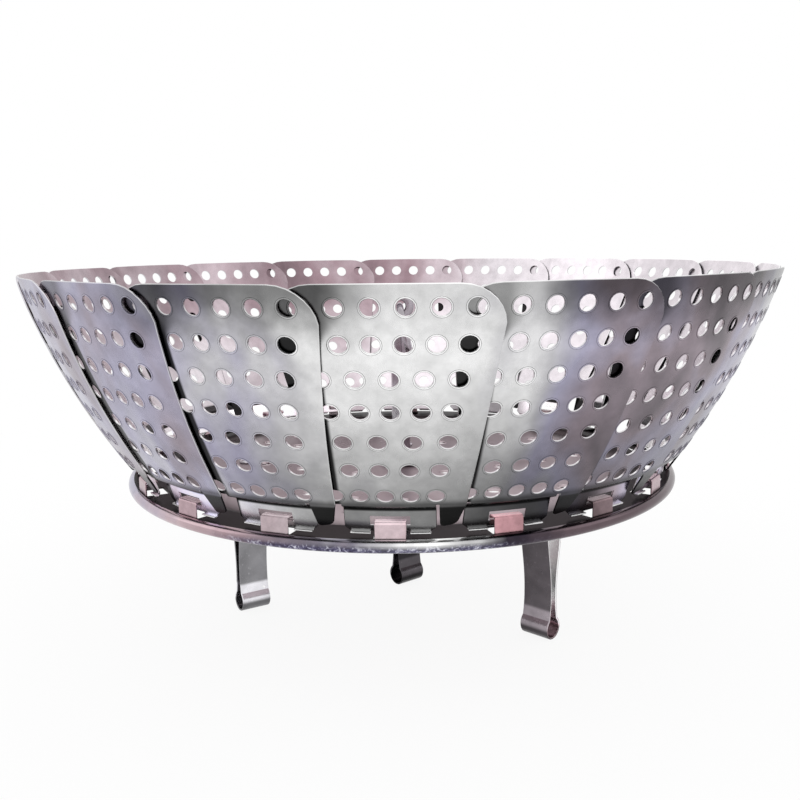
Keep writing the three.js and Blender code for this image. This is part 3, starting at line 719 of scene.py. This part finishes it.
# %% [markdown]
# The foot's line starts where the blade ends: a fold inwards, a short shoulder, the leaning
# foot and a flange turned out along its lower edge.

# %% The petal's bend
BLADE_START = Vector((
    HINGE_RADIUS + FOOT_ABOVE * math.sin(FOOT_LEAN) + SHOULDER_REACH,
    HINGE_HEIGHT + FOOT_ABOVE * math.cos(FOOT_LEAN) + SHOULDER_RISE,
))
FOLD = 0.6  # the curve of each fold reaches this far from its corner
EAR_LINE = 12.1  # x of the slit between the foot and the ear
EAR_FROM = EAR_LINE - 0.2


def up_lean(lean):
    """The direction up a wall that leans outwards."""
    return Vector((math.sin(lean), math.cos(lean)))


def foot_corners():
    """The foot seen from the side: down the shoulder and the foot, and out along the flange."""
    hinge_place = Vector((HINGE_RADIUS, HINGE_HEIGHT))
    bottom = hinge_place - up_lean(FOOT_LEAN) * FOOT_BELOW
    top = hinge_place + up_lean(FOOT_LEAN) * FOOT_ABOVE
    return [BLADE_START, BLADE_START - up_lean(LEAN_LOW) * FOLD, top, bottom,
            bottom + Vector((FLANGE, 0))]


foot_at, foot_length = trace(rounded(foot_corners(), FOLD))
print("foot, unrolled", round(foot_length, 2), "mm")


def blade_at(y):
    """Radius, height and upward direction of the blade at a distance up from the fold."""
    lean = LEAN_LOW + TURN * y
    radius = BLADE_START.x + (math.cos(LEAN_LOW) - math.cos(lean)) / TURN
    height = BLADE_START.y + (math.sin(lean) - math.sin(LEAN_LOW)) / TURN
    return Vector((radius, height)), up_lean(lean)


def petal_section(x, y):
    """The blade above the fold; below it the ear runs straight on and the foot bends."""
    if y >= 0:
        return blade_at(y)
    if x > EAR_FROM:
        return BLADE_START + up_lean(LEAN_LOW) * y, up_lean(LEAN_LOW)
    place, down = foot_at(-y)
    return place, -down


def bend_petal(bm):
    """Takes the flat blank to its place at the front of the basket."""
    for vert in bm.verts:
        x, y, lift = vert.co
        place, up = petal_section(x, y)
        radius = place.x + up.y * lift
        height = place.y - up.x * lift
        azimuth = math.asin(x / radius)
        vert.co = (radius * math.sin(azimuth), -radius * math.cos(azimuth), height)


# %% [markdown]
# The blade's outline has a full radius at each upper corner. Its left side draws in above the
# foot, where it tucks behind the neighbour's ear. The foot ends in a bar for the hook, with
# the flange cut away in front of it.

# %% The petal's outline
RIM_RIGHT = 26.9
RIM_LEFT = -22.9
CORNER = 9.4
WIDE_FROM = 50
SHOULDER_RIGHT = 18.6
SHOULDER_LEFT = -15.4
TUCK_HEIGHT = 8.3
FOOT_HALF = 11.3
BAR_HALF = 4.9
BAR_BOTTOM = -(FOLD + SHOULDER_REACH + FOOT_ABOVE + 0.6)
FLANGE_CUT = 1.4
EAR_TIPS = [(EAR_LINE, -8.1), (16.2, -7.1)]
RIM_ARCH = [(RIM_RIGHT, 0.15), (14, 0.05), (2, 0), (-10, 0.05), (RIM_LEFT, 0.15)]  # x, drop


def petal_outline():
    """The corners of the flat petal, from the foot's upper left corner round to the right."""
    end = -foot_length
    cut = FOOT_HALF - FLANGE_CUT
    rise = end + FLANGE + 1.2
    foot = [(-FOOT_HALF, 0), (-FOOT_HALF, rise), (-cut, end + FLANGE), (-cut, end)]
    bar = [(-BAR_HALF, end), (-BAR_HALF, BAR_BOTTOM)]
    left = [*foot, *bar]
    right = [(-x, y) for x, y in reversed(left)]
    rim = [(x, BLADE_LENGTH - drop) for x, drop in RIM_ARCH]
    return [(SHOULDER_LEFT, 0), *left, *right, (EAR_LINE, 0), *EAR_TIPS, (SHOULDER_RIGHT, 0),
            (RIM_RIGHT, WIDE_FROM), *rim, (RIM_LEFT, WIDE_FROM), (SHOULDER_LEFT, TUCK_HEIGHT)]


# %% [markdown]
# Seven rows of holes follow the curve of the rim, and each row has its own count and spread.

# %% The petal's holes
ROW_TOP = 53.8
ROW_PITCH = 8.45
ROW_COUNTS = [6, 6, 5, 5, 4, 4, 5]
ROW_SPREADS = [18.9, 18.0, 16.0, 15.0, 13.6, 12.5, 15.1]  # degrees, first hole to last
ROW_MIDDLES = [0.7, 0.6, 0.7, 0.7, 1.2, 1.0, -0.5]


def petal_holes():
    """The places of the holes. Each row is shifted, as the petal will stand askew."""
    places = []
    for row, count in enumerate(ROW_COUNTS):
        y = ROW_TOP - ROW_PITCH * row
        radius = blade_at(y)[0].x
        shift = math.tan(PETAL_ASKEW) * (radius - HINGE_RADIUS)
        for share in spaced(-0.5, 0.5, count - 1):
            angle = math.radians(ROW_MIDDLES[row] + ROW_SPREADS[row] * share)
            places.append((radius * math.sin(angle) + shift, y))
    return places


# %% The petal's blank
SLOT_BOTTOM = BAR_BOTTOM + 1.7
SLOT_TOP = SLOT_BOTTOM + 2.75
FOLD_BENDS = spaced(-0.1, -2, 8) + spaced(-4.2, -5.8, 6)
FLANGE_BENDS = spaced(0.6 - foot_length, 2.6 - foot_length, 8)


def petal_blank():
    """The flat petal: outline, slot, holes with collars, both faces and the bend lines."""
    bm = bmesh.new()
    add_face(bm, petal_outline())
    for x in (RIM_LEFT, RIM_RIGHT):
        round_corner(bm, (x, BLADE_LENGTH), CORNER, 7)
    for place in EAR_TIPS:
        round_corner(bm, place, 1.2, 3)
    divide_long_edges(bm, LONGEST_EDGE)
    edges = soft_rim(bm)
    edges += add_loop(bm, box_corners(-BAR_HALF, SLOT_BOTTOM, BAR_HALF, SLOT_TOP))
    fill_round_holes(bm, edges, petal_holes())
    close_blank(bm, PETAL_SHEET)
    rows = [ROW_TOP - ROW_PITCH * (i + 0.5) for i in range(len(ROW_COUNTS) - 1)]
    cut_across(bm, rows + [0], (0, 1, 0))
    cut_across(bm, FOLD_BENDS + FLANGE_BENDS, (0, 1, 0))
    cut_across(bm, spaced(-9, 9, 6), (1, 0, 0))
    return bm


# %% Eighteen petals
petal = petal_blank()
print("a petal's blank", len(petal.verts), "vertices")
remember_flat(petal)
bend_petal(petal)
foot_place = Matrix.Translation((0, -HINGE_RADIUS, 0))
askew = foot_place @ Matrix.Rotation(-PETAL_ASKEW, 4, "Z") @ foot_place.inverted()
for i, azimuth in enumerate(AZIMUTHS):
    name = f"petal_{i + 1:02d}"
    bm = petal.copy()
    give_number(bm, "petal_number", i)
    turned = Matrix.Rotation(azimuth, 4, "Z")
    bmesh.ops.transform(bm, matrix=turned @ askew, verts=bm.verts[:])
    piece = finish_piece(bm, f"{name}_sheet", name, "petal_steel", [name], petal_steel)
petal.free()
print("each petal has", len(piece.data.polygons), "faces")

# %% [markdown]
# ## The base plate
# The plate is a stamped disc: a well with rings of steam holes, a small step up to a flat
# margin, and an edge rolled under into a bead. Spinning its section would be quicker, but the
# holes and windows would then have to be cut afterwards. So it is drawn as a flat disc whose
# radius is the length along the section, and then every vertex moves to the section's place.

# %% The plate's section
PLATE_SHEET = 0.6
PLATE_RADIUS = HINGE_RADIUS + HINGE_INSET
BEAD_RADIUS = 1.7
MARGIN_WIDTH = 13
WELL_STEP = 2.5
WELL_RADIUS = PLATE_RADIUS - MARGIN_WIDTH - WELL_STEP
PLATE_TOP = HINGE_HEIGHT - 2.3
WELL_TOP = PLATE_TOP - 1.5
PLATE_STEPS = 216
CURL = math.radians(290)


def on_circle(radius, angle):
    """A place on a circle, counted from the right."""
    return radius * Vector((math.cos(angle), math.sin(angle)))


def plate_line():
    """The middle of the sheet, from the centre out and round the bead."""
    half = PLATE_SHEET / 2
    centre = Vector((PLATE_RADIUS - BEAD_RADIUS, PLATE_TOP - BEAD_RADIUS))
    corners = [(0, WELL_TOP - half), (WELL_RADIUS, WELL_TOP - half),
               (WELL_RADIUS + WELL_STEP, PLATE_TOP - half), (centre.x, PLATE_TOP - half)]
    line = rounded([Vector(corner) for corner in corners], 1.0)
    for share in spaced(0, 1, 30)[1:]:
        line.append(centre + on_circle(BEAD_RADIUS - half, math.pi / 2 - CURL * share))
    return line


plate_at, plate_reach = trace(plate_line())
MARGIN_START = WELL_RADIUS + 4.2
MARGIN_END = plate_reach - CURL * (BEAD_RADIUS - PLATE_SHEET / 2)
print("the disc, unrolled", round(plate_reach, 2), "mm")

# %% The plate's holes and windows
LEG_COUNT = 3
LEGS = [Vector(JOINTS[f"leg_{i + 1}_fold"]["pos_m"]) / MM for i in range(LEG_COUNT)]
RIVET_HEAD = 2.6
RIVET_BORE = 1.7
RIVET_KEEP_OFF = RIVET_HEAD + HOLE_RADIUS + 1.5
STUD_BORE = 2.7
HOLE_RINGS = 4
INNER_RING = 20
RING_PITCH = 13
INNER_COUNT = 8
HOOK_WIDTH = 7.8
HOOK_OUTSIDE = 1.5
WINDOW_LENGTH = 6.4


def plate_holes():
    """Rings of steam holes, each with six more than the one inside it."""
    places = []
    for ring in range(HOLE_RINGS):
        radius = INNER_RING + RING_PITCH * ring
        count = INNER_COUNT + 6 * ring
        for share in spaced(0, 1, count)[:-1]:
            turn = math.tau * share
            place = Vector((radius * math.sin(turn), -radius * math.cos(turn)))
            if all((place - leg.xy).length > RIVET_KEEP_OFF for leg in LEGS):
                places.append(tuple(place))
    return places


def window_corners(azimuth):
    """The window in the margin that a hook's tongue was cut from."""
    outer = MARGIN_END - (PLATE_RADIUS - BEAD_RADIUS - HINGE_RADIUS - HOOK_OUTSIDE)
    half = HOOK_WIDTH / 2 + 0.3
    turn = Matrix.Rotation(azimuth, 2)
    corners = box_corners(-half, -outer, half, WINDOW_LENGTH - outer)
    return [tuple(turn @ Vector(corner)) for corner in corners]


# %% The plate's blank
WEB_RADIUS = WELL_RADIUS - 1.5


def grow_rings(bm, edges, start, end, steps):
    """Extrudes a circle of edges outwards in steps, and returns the last circle."""
    radius = start
    for wider in spaced(start, end, steps)[1:]:
        edges = scale_loop(bm, edges, (0, 0), wider / radius, 0)
        radius = wider
    return edges


def plate_blank():
    """The flat disc: the well with its holes, the step, the margin with windows, the bead."""
    bm = bmesh.new()
    well = add_circle(bm, (0, 0), WEB_RADIUS, PLATE_STEPS)
    edges = well + add_circle(bm, (0, 0), STUD_BORE, 24)
    for leg in LEGS:
        edges += add_circle(bm, leg.xy, RIVET_BORE, 16)
    fill_round_holes(bm, edges, plate_holes())
    margin = grow_rings(bm, well, WEB_RADIUS, MARGIN_START, 16)
    bead = add_circle(bm, (0, 0), MARGIN_END, PLATE_STEPS)
    margin += bead
    for azimuth in AZIMUTHS:
        margin += add_loop(bm, window_corners(azimuth))
    fill_web(bm, margin)
    grow_rings(bm, bead, MARGIN_END, plate_reach, 26)
    close_blank(bm, PLATE_SHEET)
    return bm


def bend_plate(bm):
    """Moves each point of the flat disc to its place on the plate's section."""
    for vert in bm.verts:
        along = math.hypot(vert.co.x, vert.co.y)
        place, out = plate_at(along)
        radius = place.x - out.y * vert.co.z
        height = place.y + out.x * vert.co.z
        vert.co = (vert.co.x / along * radius, vert.co.y / along * radius, height)


plate = plate_blank()
bend_plate(plate)
print("the plate", len(plate.faces), "faces,", len(plate_holes()), "steam holes")
for face in plate.faces:
    face.material_index = int(face.calc_center_median().xy.length < PLATE_RADIUS - BEAD_RADIUS)
finish_piece(plate, "plate_sheet", "base", "plate_steel", ["base_plate"], bead_steel, well_steel)

# %% [markdown]
# ## The hooks
# Each hook is a tongue of the plate, raised outside a petal's foot and bent in through its
# slot. The tongues could stay part of the disc, but then every one would need its own bend.
# One strip of its own, bent once and turned to each azimuth, gives them all.

# %% Eighteen hooks
HOOK_SHEET = 0.5
HOOK_RISE = 1.5
HOOK_REACH = 1.6
HOOK_DROP = 0.7


def hook_line():
    """Up outside the foot, in over its bar, and a short way down again."""
    half = HOOK_SHEET / 2
    upright = HINGE_RADIUS + HOOK_OUTSIDE + half
    end = HINGE_RADIUS - HOOK_REACH + half
    top = HINGE_HEIGHT + HOOK_RISE
    corners = [(upright, PLATE_TOP - PLATE_SHEET / 2), (upright, top + half), (end, top + half),
               (end, top - HOOK_DROP)]
    return rounded([Vector(corner) for corner in corners], 0.7)


hook_at, hook_length = trace(hook_line())


def strip_blank(width, length, sheet, bores=(), steps=40, corner=0.8):
    """A flat strip from y = 0 to its length, with rounded ends and plain bores."""
    bm = bmesh.new()
    corners = box_corners(-width / 2, 0, width / 2, length)
    add_face(bm, corners)
    for place in corners:
        round_corner(bm, place, corner, 4)
    divide_long_edges(bm, width / 4)
    edges = soft_rim(bm)
    for place, radius in bores:
        edges += add_circle(bm, place, radius, 20)
    fill_web(bm, edges)
    close_blank(bm, sheet)
    cut_across(bm, spaced(0, length, steps)[1:-1], (0, 1, 0))
    return bm


def bend_strip(bm, at, side):
    """Bends a strip along a line: its length follows the line, its width stays across."""
    for vert in bm.verts:
        place, ahead = at(vert.co.y)
        lift = vert.co.z * side
        vert.co = (vert.co.x, place.x + ahead.y * lift, place.y - ahead.x * lift)


hook = strip_blank(HOOK_WIDTH, hook_length, HOOK_SHEET, steps=26, corner=0.4)
bend_strip(hook, hook_at, 1)
hooks = bmesh.new()
for azimuth in AZIMUTHS:
    copy = bpy.data.meshes.new("hook_copy")
    hook.to_mesh(copy)
    copy.transform(Matrix.Rotation(azimuth + math.pi, 4, "Z"))
    hooks.from_mesh(copy)
    bpy.data.meshes.remove(copy)
hook.free()
finish_piece(hooks, "hooks", "base", "plate_steel", ["base_plate"], hook_steel)
print("hooks,", round(hook_length, 2), "mm of strip each")

# %% [markdown]
# ## The legs
# A leg is a hairpin of springy strip: two arms on a pin, drawn together at a waist, and a round
# bulb to stand on. A curve with a flat section could follow it, but would have no bores for
# the pin and no rounded ends. A flat strip has both before it is bent. Its line is drawn from
# one arm's top down to the bulb and mirrored.

# %% The legs' line
LEG_WIDTH = 10
LEG_SHEET = 0.6
ARM_SPREAD = 4
ARM_TOP = 5.5
WAIST = 1.4
WAIST_DROP = 29
BULB_RADIUS = 3.4
THROAT = math.radians(52)  # where the arm meets the bulb
LEG_PIVOT_HEIGHT = LEGS[0].z


def leg_line():
    """Down one arm through the waist, round the bulb and up the other arm."""
    bulb = Vector((0, BULB_RADIUS + LEG_SHEET / 2 - LEG_PIVOT_HEIGHT))
    half = [Vector((ARM_SPREAD, ARM_TOP)), Vector((ARM_SPREAD, -2))]
    for share in spaced(0, 1, 16):
        ease = (1 - math.cos(share * math.pi)) / 2
        spread = ARM_SPREAD + (WAIST - ARM_SPREAD) * ease
        half.append(Vector((spread, -4 - (WAIST_DROP - 4) * share)))
    into = half[-1]
    throat = bulb + on_circle(BULB_RADIUS, THROAT)
    for share in spaced(0, 1, 5)[1:-1]:
        half.append(into.lerp(throat, share) + Vector((-0.25 * math.sin(share * math.pi), 0)))
    half += [bulb + on_circle(BULB_RADIUS, angle) for angle in spaced(THROAT, -math.pi / 2, 24)]
    mirrored = [Vector((-point.x, point.y)) for point in reversed(half[:-1])]
    return half + mirrored


leg_at, leg_length = trace(leg_line())
print("a leg, unrolled", round(leg_length, 1), "mm")

# %% Three legs
PIN_BORE = 1.3
leg_bores = [((0, ARM_TOP), PIN_BORE), ((0, leg_length - ARM_TOP), PIN_BORE)]


def place_leg_part(bm, leg):
    """Turns a part from a leg's own frame, pin along Y, to its place under the well."""
    axis = Vector(JOINTS[f"leg_{leg + 1}_fold"]["axis"])
    facing = math.atan2(-axis.x, axis.y)
    if abs(facing) > math.pi / 2:
        facing -= math.copysign(math.pi, facing)
    turn = Matrix.Translation(LEGS[leg]) @ Matrix.Rotation(facing, 4, "Z")
    bmesh.ops.transform(bm, matrix=turn, verts=bm.verts[:])


for leg in range(LEG_COUNT):
    strip = strip_blank(LEG_WIDTH, leg_length, LEG_SHEET, leg_bores, steps=110, corner=3.2)
    remember_flat(strip)
    bend_strip(strip, leg_at, -1)
    place_leg_part(strip, leg)
    name = f"leg_{leg + 1}"
    piece = finish_piece(strip, f"{name}_strip", name, "leg_steel", [name], leg_steel)
print("each leg has", len(piece.data.polygons), "faces")

# %% [markdown]
# ## Brackets, pins and rivets
# A bracket is a short strip folded into a channel, with a bore for the pin in each ear and
# one for the rivet in its web, so it is bent from a blank like the legs. Pins and rivets are
# round, and half a section that is spun gives the shank and both domed heads at once.

# %% Three brackets
BRACKET_SHEET = 0.8
BRACKET_LENGTH = 11
GAP = 0.2  # between pieces that lie on each other
BRACKET_TOP = WELL_TOP - PLATE_SHEET - GAP - LEG_PIVOT_HEIGHT
BRACKET_BOTTOM = BRACKET_TOP + GAP - 9.4
BRACKET_FACE = ARM_SPREAD + LEG_SHEET / 2 + 0.3


def bracket_line():
    """Up one ear, across the web and down the other ear."""
    side = BRACKET_FACE + BRACKET_SHEET / 2
    top = BRACKET_TOP - BRACKET_SHEET / 2
    corners = [(side, BRACKET_BOTTOM), (side, top), (-side, top), (-side, BRACKET_BOTTOM)]
    return rounded([Vector(corner) for corner in corners], 0.7)


bracket_at, bracket_length = trace(bracket_line())
ear = abs(BRACKET_BOTTOM)
bracket_bores = [((0, ear), PIN_BORE), ((0, bracket_length - ear), PIN_BORE),
                 ((0, bracket_length / 2), RIVET_BORE)]
for leg in range(LEG_COUNT):
    strip = strip_blank(BRACKET_LENGTH, bracket_length, BRACKET_SHEET, bracket_bores, 60, 2.6)
    bend_strip(strip, bracket_at, 1)
    place_leg_part(strip, leg)
    name = f"leg_bracket_{leg + 1}"
    finish_piece(strip, f"{name}_channel", "base", "bracket_steel", [name], bracket_steel)
print("a bracket, unrolled", round(bracket_length, 1), "mm")


# %% Turned parts
def turned_part(profile, steps=40):
    """Spins half a section, drawn as (radius, height), round the Z axis."""
    bm = bmesh.new()
    verts = [bm.verts.new((radius, 0, height)) for radius, height in profile]
    edges = [bm.edges.new(pair) for pair in zip(verts, verts[1:])]
    bmesh.ops.spin(bm, geom=verts + edges, cent=(0, 0, 0), axis=(0, 0, 1), angle=math.tau,
                   steps=steps, use_merge=True, use_duplicate=False)
    bmesh.ops.remove_doubles(bm, verts=bm.verts[:], dist=SAME_PLACE)
    return bm


def domed(radius, height, base, up, steps=6):
    """The section of a low domed head: its rim, then the curve in to the axis."""
    points = [(radius, base)]
    for share in spaced(0, 1, steps):
        angle = share * math.pi / 2
        rise = 0.3 * height + 0.7 * height * math.sin(angle)
        points.append((radius * math.cos(angle) if share < 1 else 0, base + up * rise))
    return points


def headed(radius, head, dome, bottom, top):
    """A shank between two heights with a domed head past each end."""
    return turned_part([*reversed(domed(head, dome, bottom, -1)), (radius, bottom),
                        (radius, top), *domed(head, dome, top, 1)])


def lay_down(bm):
    """Turns a part from the Z axis to the Y axis."""
    turn = Matrix.Rotation(math.pi / 2, 3, "X")
    bmesh.ops.rotate(bm, cent=(0, 0, 0), matrix=turn, verts=bm.verts[:])


# %% Three pins and three rivets
PIN_RADIUS = 1.0
PIN_HEAD = 1.8
PIN_DOME = 0.8
RIVET_RADIUS = 1.4
RIVET_DOME = 0.9
pin_half = BRACKET_FACE + BRACKET_SHEET + GAP
rivet_bottom = BRACKET_TOP - BRACKET_SHEET - GAP
rivet_top = BRACKET_TOP + GAP + PLATE_SHEET + GAP
for leg in range(LEG_COUNT):
    pin = headed(PIN_RADIUS, PIN_HEAD, PIN_DOME, -pin_half, pin_half)
    lay_down(pin)
    rivet = headed(RIVET_RADIUS, RIVET_HEAD, RIVET_DOME, rivet_bottom, rivet_top)
    for bm, kind in ((pin, "leg_pin"), (rivet, "bracket_rivet")):
        place_leg_part(bm, leg)
        name = f"{kind}_{leg + 1}"
        finish_piece(bm, f"{name}_turned", "base", "fastener_steel", [name], fastener_steel)
print("pins", round(2 * pin_half, 1), "mm, rivets", round(rivet_top - rivet_bottom, 1), "mm")

# %% [markdown]
# ## The post, its washer and nut, and the lifting ring
# The post is turned, with a collar on the well and a threaded stud below it. Its flat eye
# could be cut from the post's top, but as a disc with a bore it is spun round its own axis,
# with soft edges. The ring is a circle of wire spun round an axis beside it. Only the nut has
# corners: two rims of six sides are bridged, and the outer edges bevelled.

# %% The post
EYE_HEIGHT = WELL_TOP + 52
EYE_RADIUS = 4.6
EYE_BORE = 1.9
EYE_HALF = 1.6
STUD_RADIUS = 2.4
COLLAR_RADIUS = 7.0
POST_RADIUS = 3.0
WASHER_RADIUS = 7.0
WASHER_SHEET = 0.8
NUT_HEIGHT = 3.2
washer_top = WELL_TOP - PLATE_SHEET - GAP
nut_top = washer_top - WASHER_SHEET - GAP
stud_end = nut_top - NUT_HEIGHT - 0.8


def thread(bottom, top, radius, pitch=0.8, depth=0.25):
    """The ridges of a fine thread, as a section."""
    points = []
    height = bottom
    while height < top - pitch:
        points += [(radius - depth, height), (radius, height + pitch / 2)]
        height += pitch
    return points


def post_section():
    """The stud with its thread, the collar on the well, and the shaft up to the eye."""
    collar = WELL_TOP + GAP
    face = COLLAR_RADIUS - 0.2
    neck = EYE_HEIGHT - EYE_RADIUS
    return [
        (0, stud_end), (1.9, stud_end), *thread(stud_end + 0.3, WELL_TOP - 1, STUD_RADIUS),
        (STUD_RADIUS, WELL_TOP - 0.6), (STUD_RADIUS, collar), (face, collar),
        (COLLAR_RADIUS, collar + 0.2), (COLLAR_RADIUS, collar + 1.0), (face, collar + 1.2),
        (5.0, collar + 1.5), (3.6, collar + 2.0), (POST_RADIUS, collar + 3.2),
        (POST_RADIUS, neck - 2), (2.6, neck - 0.4), (1.6, EYE_HEIGHT - 3.4), (0, EYE_HEIGHT - 3.2),
    ]


post = turned_part(post_section(), 48)
finish_piece(post, "post_shaft", "base", "post_steel", ["centre_post"], post_steel)
upper = [(EYE_RADIUS, EYE_HALF - 0.5), (EYE_RADIUS - 0.12, EYE_HALF - 0.16),
         (EYE_RADIUS - 0.5, EYE_HALF), (EYE_BORE + 0.3, EYE_HALF), (EYE_BORE, EYE_HALF - 0.3)]
lower = [(radius, -height) for radius, height in reversed(upper)]
eye = turned_part([*lower[1:], *upper, *lower[:2]], 48)
lay_down(eye)
bmesh.ops.translate(eye, vec=(0, 0, EYE_HEIGHT), verts=eye.verts[:])
finish_piece(eye, "post_eye", "base", "post_steel", ["centre_post"], post_steel)
print("the post is", round(EYE_HEIGHT + EYE_RADIUS - stud_end, 1), "mm long")

# %% The washer
washer_bottom = washer_top - WASHER_SHEET
washer = turned_part([
    (STUD_BORE, washer_top), (WASHER_RADIUS - 0.2, washer_top), (WASHER_RADIUS, washer_top - 0.2),
    (WASHER_RADIUS, washer_bottom + 0.2), (WASHER_RADIUS - 0.2, washer_bottom),
    (STUD_BORE, washer_bottom), (STUD_BORE, washer_top),
], 48)
finish_piece(washer, "washer_turned", "base", "fastener_steel", ["post_washer"], fastener_steel)
print("the washer's top is", round(washer_top, 1), "mm up")

# %% The nut
NUT_RADIUS = 5.2
nut = bmesh.new()
rims = []
for height in (nut_top - NUT_HEIGHT, nut_top):
    outer = add_circle(nut, (0, 0), NUT_RADIUS, 6)
    inner = add_circle(nut, (0, 0), STUD_BORE, 24)
    loop = outer + inner
    verts = {vert for edge in loop for vert in edge.verts}
    bmesh.ops.translate(nut, vec=(0, 0, height), verts=list(verts))
    fill_web(nut, loop)
    rims.append((outer, inner))
for below, above in zip(*rims):
    bmesh.ops.bridge_loops(nut, edges=below + above)
corners = [edge for edge in nut.edges if min(v.co.xy.length for v in edge.verts) > STUD_BORE + 1]
bmesh.ops.bevel(nut, geom=corners, offset=0.35, segments=2, profile=0.5, affect="EDGES",
                material=-1)
print("the nut has", len(nut.faces), "faces")
finish_piece(nut, "nut_hex", "base", "fastener_steel", ["post_nut"], fastener_steel)

# %% The lifting ring
RING_RADIUS = 11
RING_WIRE = 1.1
ring_eye = Vector(JOINTS["ring_swing"]["pos_m"]) / MM
ring_lean = math.asin((POST_RADIUS + RING_WIRE + 0.3) / (2 * RING_RADIUS))
ring = bmesh.new()
section = Matrix.Rotation(math.pi / 2, 4, "X")
bmesh.ops.create_circle(ring, cap_ends=False, segments=20, radius=RING_WIRE, matrix=section)
bmesh.ops.spin(ring, geom=ring.verts[:] + ring.edges[:], cent=(RING_RADIUS, 0, 0), axis=(0, 0, 1),
               angle=math.tau, steps=72, use_merge=True, use_duplicate=False)
bmesh.ops.remove_doubles(ring, verts=ring.verts[:], dist=SAME_PLACE)
hang = Matrix.Translation(ring_eye) @ Matrix.Rotation(math.pi / 2 - ring_lean, 4, "Y")
bmesh.ops.transform(ring, matrix=hang, verts=ring.verts[:])
finish_piece(ring, "ring_wire", "lifting_ring", "wire_steel", ["lifting_ring"], wire_steel)
print("the ring's wire", round(math.tau * RING_RADIUS, 1), "mm, leaning",
      round(math.degrees(ring_lean), 1), "degrees")

# %% [markdown]
# ## Floor, light and camera
# The photograph has a white ground. A pale floor keeps a faint shadow near the legs, and turns
# to plain white further out, so no horizon shows. The world is the same white, also for the
# rays that steel mirrors, so each finish renders about as it is written. Four weak lamps add
# soft highlights to the rims and the bends.

# %% The floor
WHITE_FROM = 0.16
WHITE_AT = 0.4
WHITE_NEAR = 0.9


def seen_directly(tree):
    """1 for rays from the camera, and for rays that metal or glass sends on; else 0."""
    rays = tree.nodes.new("ShaderNodeLightPath").outputs
    names = ("Is Camera Ray", "Is Glossy Ray", "Is Transmission Ray")
    camera, glossy, sent = [Socket(tree, rays[name]) for name in names]
    return camera.math("MAXIMUM", camera, glossy.math("MAXIMUM", glossy, sent))


def pale_floor():
    """A matt floor that turns to plain white away from the basket."""
    material, shader, place = new_finish("pale_floor", metallic=0.0)
    tree = material.node_tree
    shader.inputs["Base Color"].default_value = (0.9, 0.9, 0.9, 1)
    shader.inputs["Roughness"].default_value = 0.9
    shader.inputs["Specular IOR Level"].default_value = 0.1
    reach = place.node("ShaderNodeVectorMath", {"operation": "LENGTH"}, {0: place}, 1)
    share = seen_directly(tree) * fade(reach, WHITE_FROM, WHITE_AT, WHITE_NEAR, 1.0)
    white = share.node("ShaderNodeEmission", inputs={"Color": (1, 1, 1, 1), "Strength": 1.0})
    surface = Socket(tree, shader.outputs[0])
    mixed = share.node("ShaderNodeMixShader", inputs={0: share, 1: surface, 2: white})
    plug(tree, tree.nodes["Material Output"].inputs["Surface"], mixed)
    return material


bm = bmesh.new()
bmesh.ops.create_grid(bm, x_segments=1, y_segments=1, size=3)
mesh = bpy.data.meshes.new("floor")
bm.to_mesh(mesh)
bm.free()
mesh.materials.append(pale_floor())
floor = bpy.data.objects.new("floor", mesh)
bpy.context.scene.collection.objects.link(floor)
print("floor", round(floor.dimensions.x, 1), "m across")

# %% The world and the lamps
world = bpy.data.worlds.new("studio")
world.use_nodes = True
world.node_tree.nodes["Background"].inputs["Color"].default_value = (1, 1, 1, 1)
world.node_tree.nodes["Background"].inputs["Strength"].default_value = 1.0
bpy.context.scene.world = world


def soft_lamp(name, place, size, power):
    """A square lamp that faces the basket."""
    lamp = bpy.data.lights.new(name, "AREA")
    lamp.size = size
    lamp.energy = power
    holder = bpy.data.objects.new(name, lamp)
    holder.location = place
    aim = Vector((0, 0, 0.03)) - Vector(place)
    holder.rotation_euler = aim.to_track_quat("-Z", "Y").to_euler()
    bpy.context.scene.collection.objects.link(holder)


soft_lamp("front", (0.05, -0.55, 0.6), 0.9, 1.2)
soft_lamp("right", (0.8, -0.1, 0.5), 0.5, 0.4)
soft_lamp("left", (-0.8, -0.1, 0.5), 0.5, 0.4)
soft_lamp("back", (0.1, 0.7, 0.6), 0.7, 0.6)
print("lamps", len(bpy.data.lights))

# %% The camera
CAMERA_DISTANCE = 0.302
CAMERA_HEIGHT = 0.1246
CAMERA_PITCH = 0.171
CAMERA_YAW = -0.0009
CAMERA_ROLL = 0.013
SENSOR = 36
FOCAL_SHARE = 930 / 800  # the focal length as a share of the picture's width

camera = bpy.data.cameras.new("camera")
camera.sensor_width = SENSOR
camera.lens = SENSOR * FOCAL_SHARE
camera.clip_start = 0.01
camera.clip_end = 10
viewer = bpy.data.objects.new("camera", camera)
bpy.context.scene.collection.objects.link(viewer)
yaw = Matrix.Rotation(-CAMERA_YAW, 4, "Z")
pitch = Matrix.Rotation(math.pi / 2 - CAMERA_PITCH, 4, "X")
roll = Matrix.Rotation(-CAMERA_ROLL, 4, "Z")
stand = Matrix.Translation((0, -CAMERA_DISTANCE, CAMERA_HEIGHT))
viewer.matrix_world = stand @ yaw @ pitch @ roll
bpy.context.scene.camera = viewer
bpy.context.scene.view_settings.view_transform = "Standard"
print("lens", round(camera.lens, 1), "mm")
